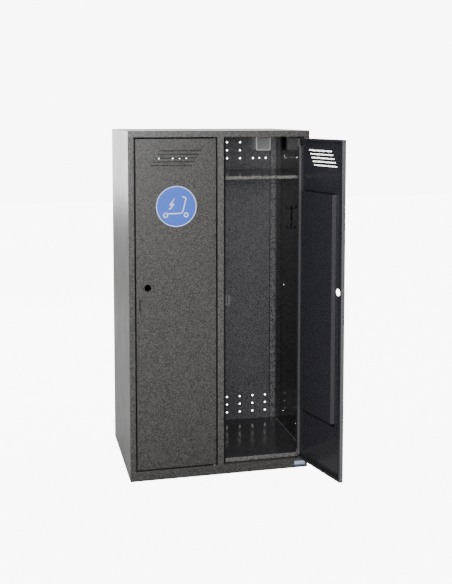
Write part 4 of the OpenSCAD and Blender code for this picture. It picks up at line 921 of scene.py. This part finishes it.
# Stage: the camera at the photograph's place, a bright backdrop behind the locker, a dim room in
# front, and a pale floor. Backdrop and floor glow white for the camera alone, save under the
# locker, where the floor stays dark.
GLOW = 8.5
ROOM_FRONT = 0.45
ROOM_BACK = 2.2
FLOOR_HALF = 15.0
UNDER_LOCKER = (0.46, 0.345, 0.0)

camera_data = bpy.data.cameras.new("camera")
camera_data.sensor_width = 36.0
camera_data.lens = 56.861
camera_data.shift_y = -0.174658
camera_data.clip_end = 100.0
camera = bpy.data.objects.new("camera", camera_data)
camera.location = (-1.0511, -4.9438, 1.8794)
camera.rotation_euler = Euler((np.pi / 2 - 0.08115, 0, -0.23106))
bpy.context.scene.collection.objects.link(camera)
bpy.context.scene.camera = camera

world = bpy.data.worlds.new("studio")
world.use_nodes = True
sky = world.node_tree
room = sky.nodes["Background"]
room.inputs["Color"].default_value = (1, 1, 1, 1)
heading = node(sky, "ShaderNodeTexCoord")
parts = node(sky, "ShaderNodeSeparateXYZ")
depth = node(sky, "ShaderNodeMapRange", From_Min=-0.4, From_Max=0.5, To_Min=ROOM_FRONT, To_Max=ROOM_BACK)
seen = node(sky, "ShaderNodeLightPath")
pick = node(sky, "ShaderNodeMix", B=GLOW)
sky.links.new(heading.outputs["Generated"], parts.inputs["Vector"])
sky.links.new(parts.outputs["Y"], depth.inputs["Value"])
sky.links.new(seen.outputs["Is Camera Ray"], pick.inputs["Factor"])
sky.links.new(depth.outputs["Result"], pick.inputs["A"])
sky.links.new(pick.outputs["Result"], room.inputs["Strength"])
bpy.context.scene.world = world

floor_mesh = bpy.data.meshes.new("studio_floor")
floor_mesh.from_pydata([(-FLOOR_HALF, -FLOOR_HALF, 0), (FLOOR_HALF, -FLOOR_HALF, 0),
                        (FLOOR_HALF, FLOOR_HALF, 0), (-FLOOR_HALF, FLOOR_HALF, 0)],
                       [], [(0, 1, 2, 3)])
pale = bpy.data.materials.new("pale_floor")
pale.use_nodes = True
ground = pale.node_tree
matt = ground.nodes["Principled BSDF"]
matt.inputs["Base Color"].default_value = (0.5, 0.5, 0.5, 1)
matt.inputs["Roughness"].default_value = 0.9
matt.inputs["Emission Color"].default_value = (1, 1, 1, 1)
where = node(ground, "ShaderNodeTexCoord")
reach = node(ground, "ShaderNodeVectorMath", "ABSOLUTE")
spread = node(ground, "ShaderNodeVectorMath", "SUBTRACT")
spread.inputs[1].default_value = UNDER_LOCKER
sides = node(ground, "ShaderNodeSeparateXYZ")
widest = node(ground, "ShaderNodeMath", "MAXIMUM")
outside = node(ground, "ShaderNodeMapRange", From_Min=0.0, From_Max=0.01, To_Min=0.0, To_Max=GLOW)
viewed = node(ground, "ShaderNodeLightPath")
glow = node(ground, "ShaderNodeMath", "MULTIPLY")
ground.links.new(where.outputs["Object"], reach.inputs[0])
ground.links.new(reach.outputs["Vector"], spread.inputs[0])
ground.links.new(spread.outputs["Vector"], sides.inputs["Vector"])
ground.links.new(sides.outputs["X"], widest.inputs[0])
ground.links.new(sides.outputs["Y"], widest.inputs[1])
ground.links.new(widest.outputs["Value"], outside.inputs["Value"])
ground.links.new(viewed.outputs["Is Camera Ray"], glow.inputs[0])
ground.links.new(outside.outputs["Result"], glow.inputs[1])
ground.links.new(glow.outputs["Value"], matt.inputs["Emission Strength"])
floor_mesh.materials.append(pale)
floor = bpy.data.objects.new("studio_floor", floor_mesh)
bpy.context.scene.collection.objects.link(floor)

# Lamps: a large softbox in front on the left, a strip beside it for the cap, and a tall softbox
# behind on the left for the side panel. Each row gives width, height, power, place and aim.
LAMPS = (("front_softbox", 3.0, 2.4, 240.0, (-1.5, -6.4, 2.1), (0.0, 0.0, 0.9)),
         ("front_strip", 1.0, 0.4, 26.0, (-0.4, -5.6, 2.05), (-0.3, 0.0, 1.75)),
         ("rear_left_softbox", 1.2, 2.2, 50.0, (-1.6, 4.2, 2.1), (-0.475, 0.0, 1.4)))

for name, width, height, power, place, aim in LAMPS:
    lamp_data = bpy.data.lights.new(name, "AREA")
    lamp_data.shape = "RECTANGLE"
    lamp_data.size = width
    lamp_data.size_y = height
    lamp_data.energy = power
    lamp = bpy.data.objects.new(name, lamp_data)
    lamp.location = place
    lamp.rotation_euler = (Vector(aim) - Vector(place)).to_track_quat("-Z", "Y").to_euler()
    lamp.visible_camera = False
    bpy.context.scene.collection.objects.link(lamp)
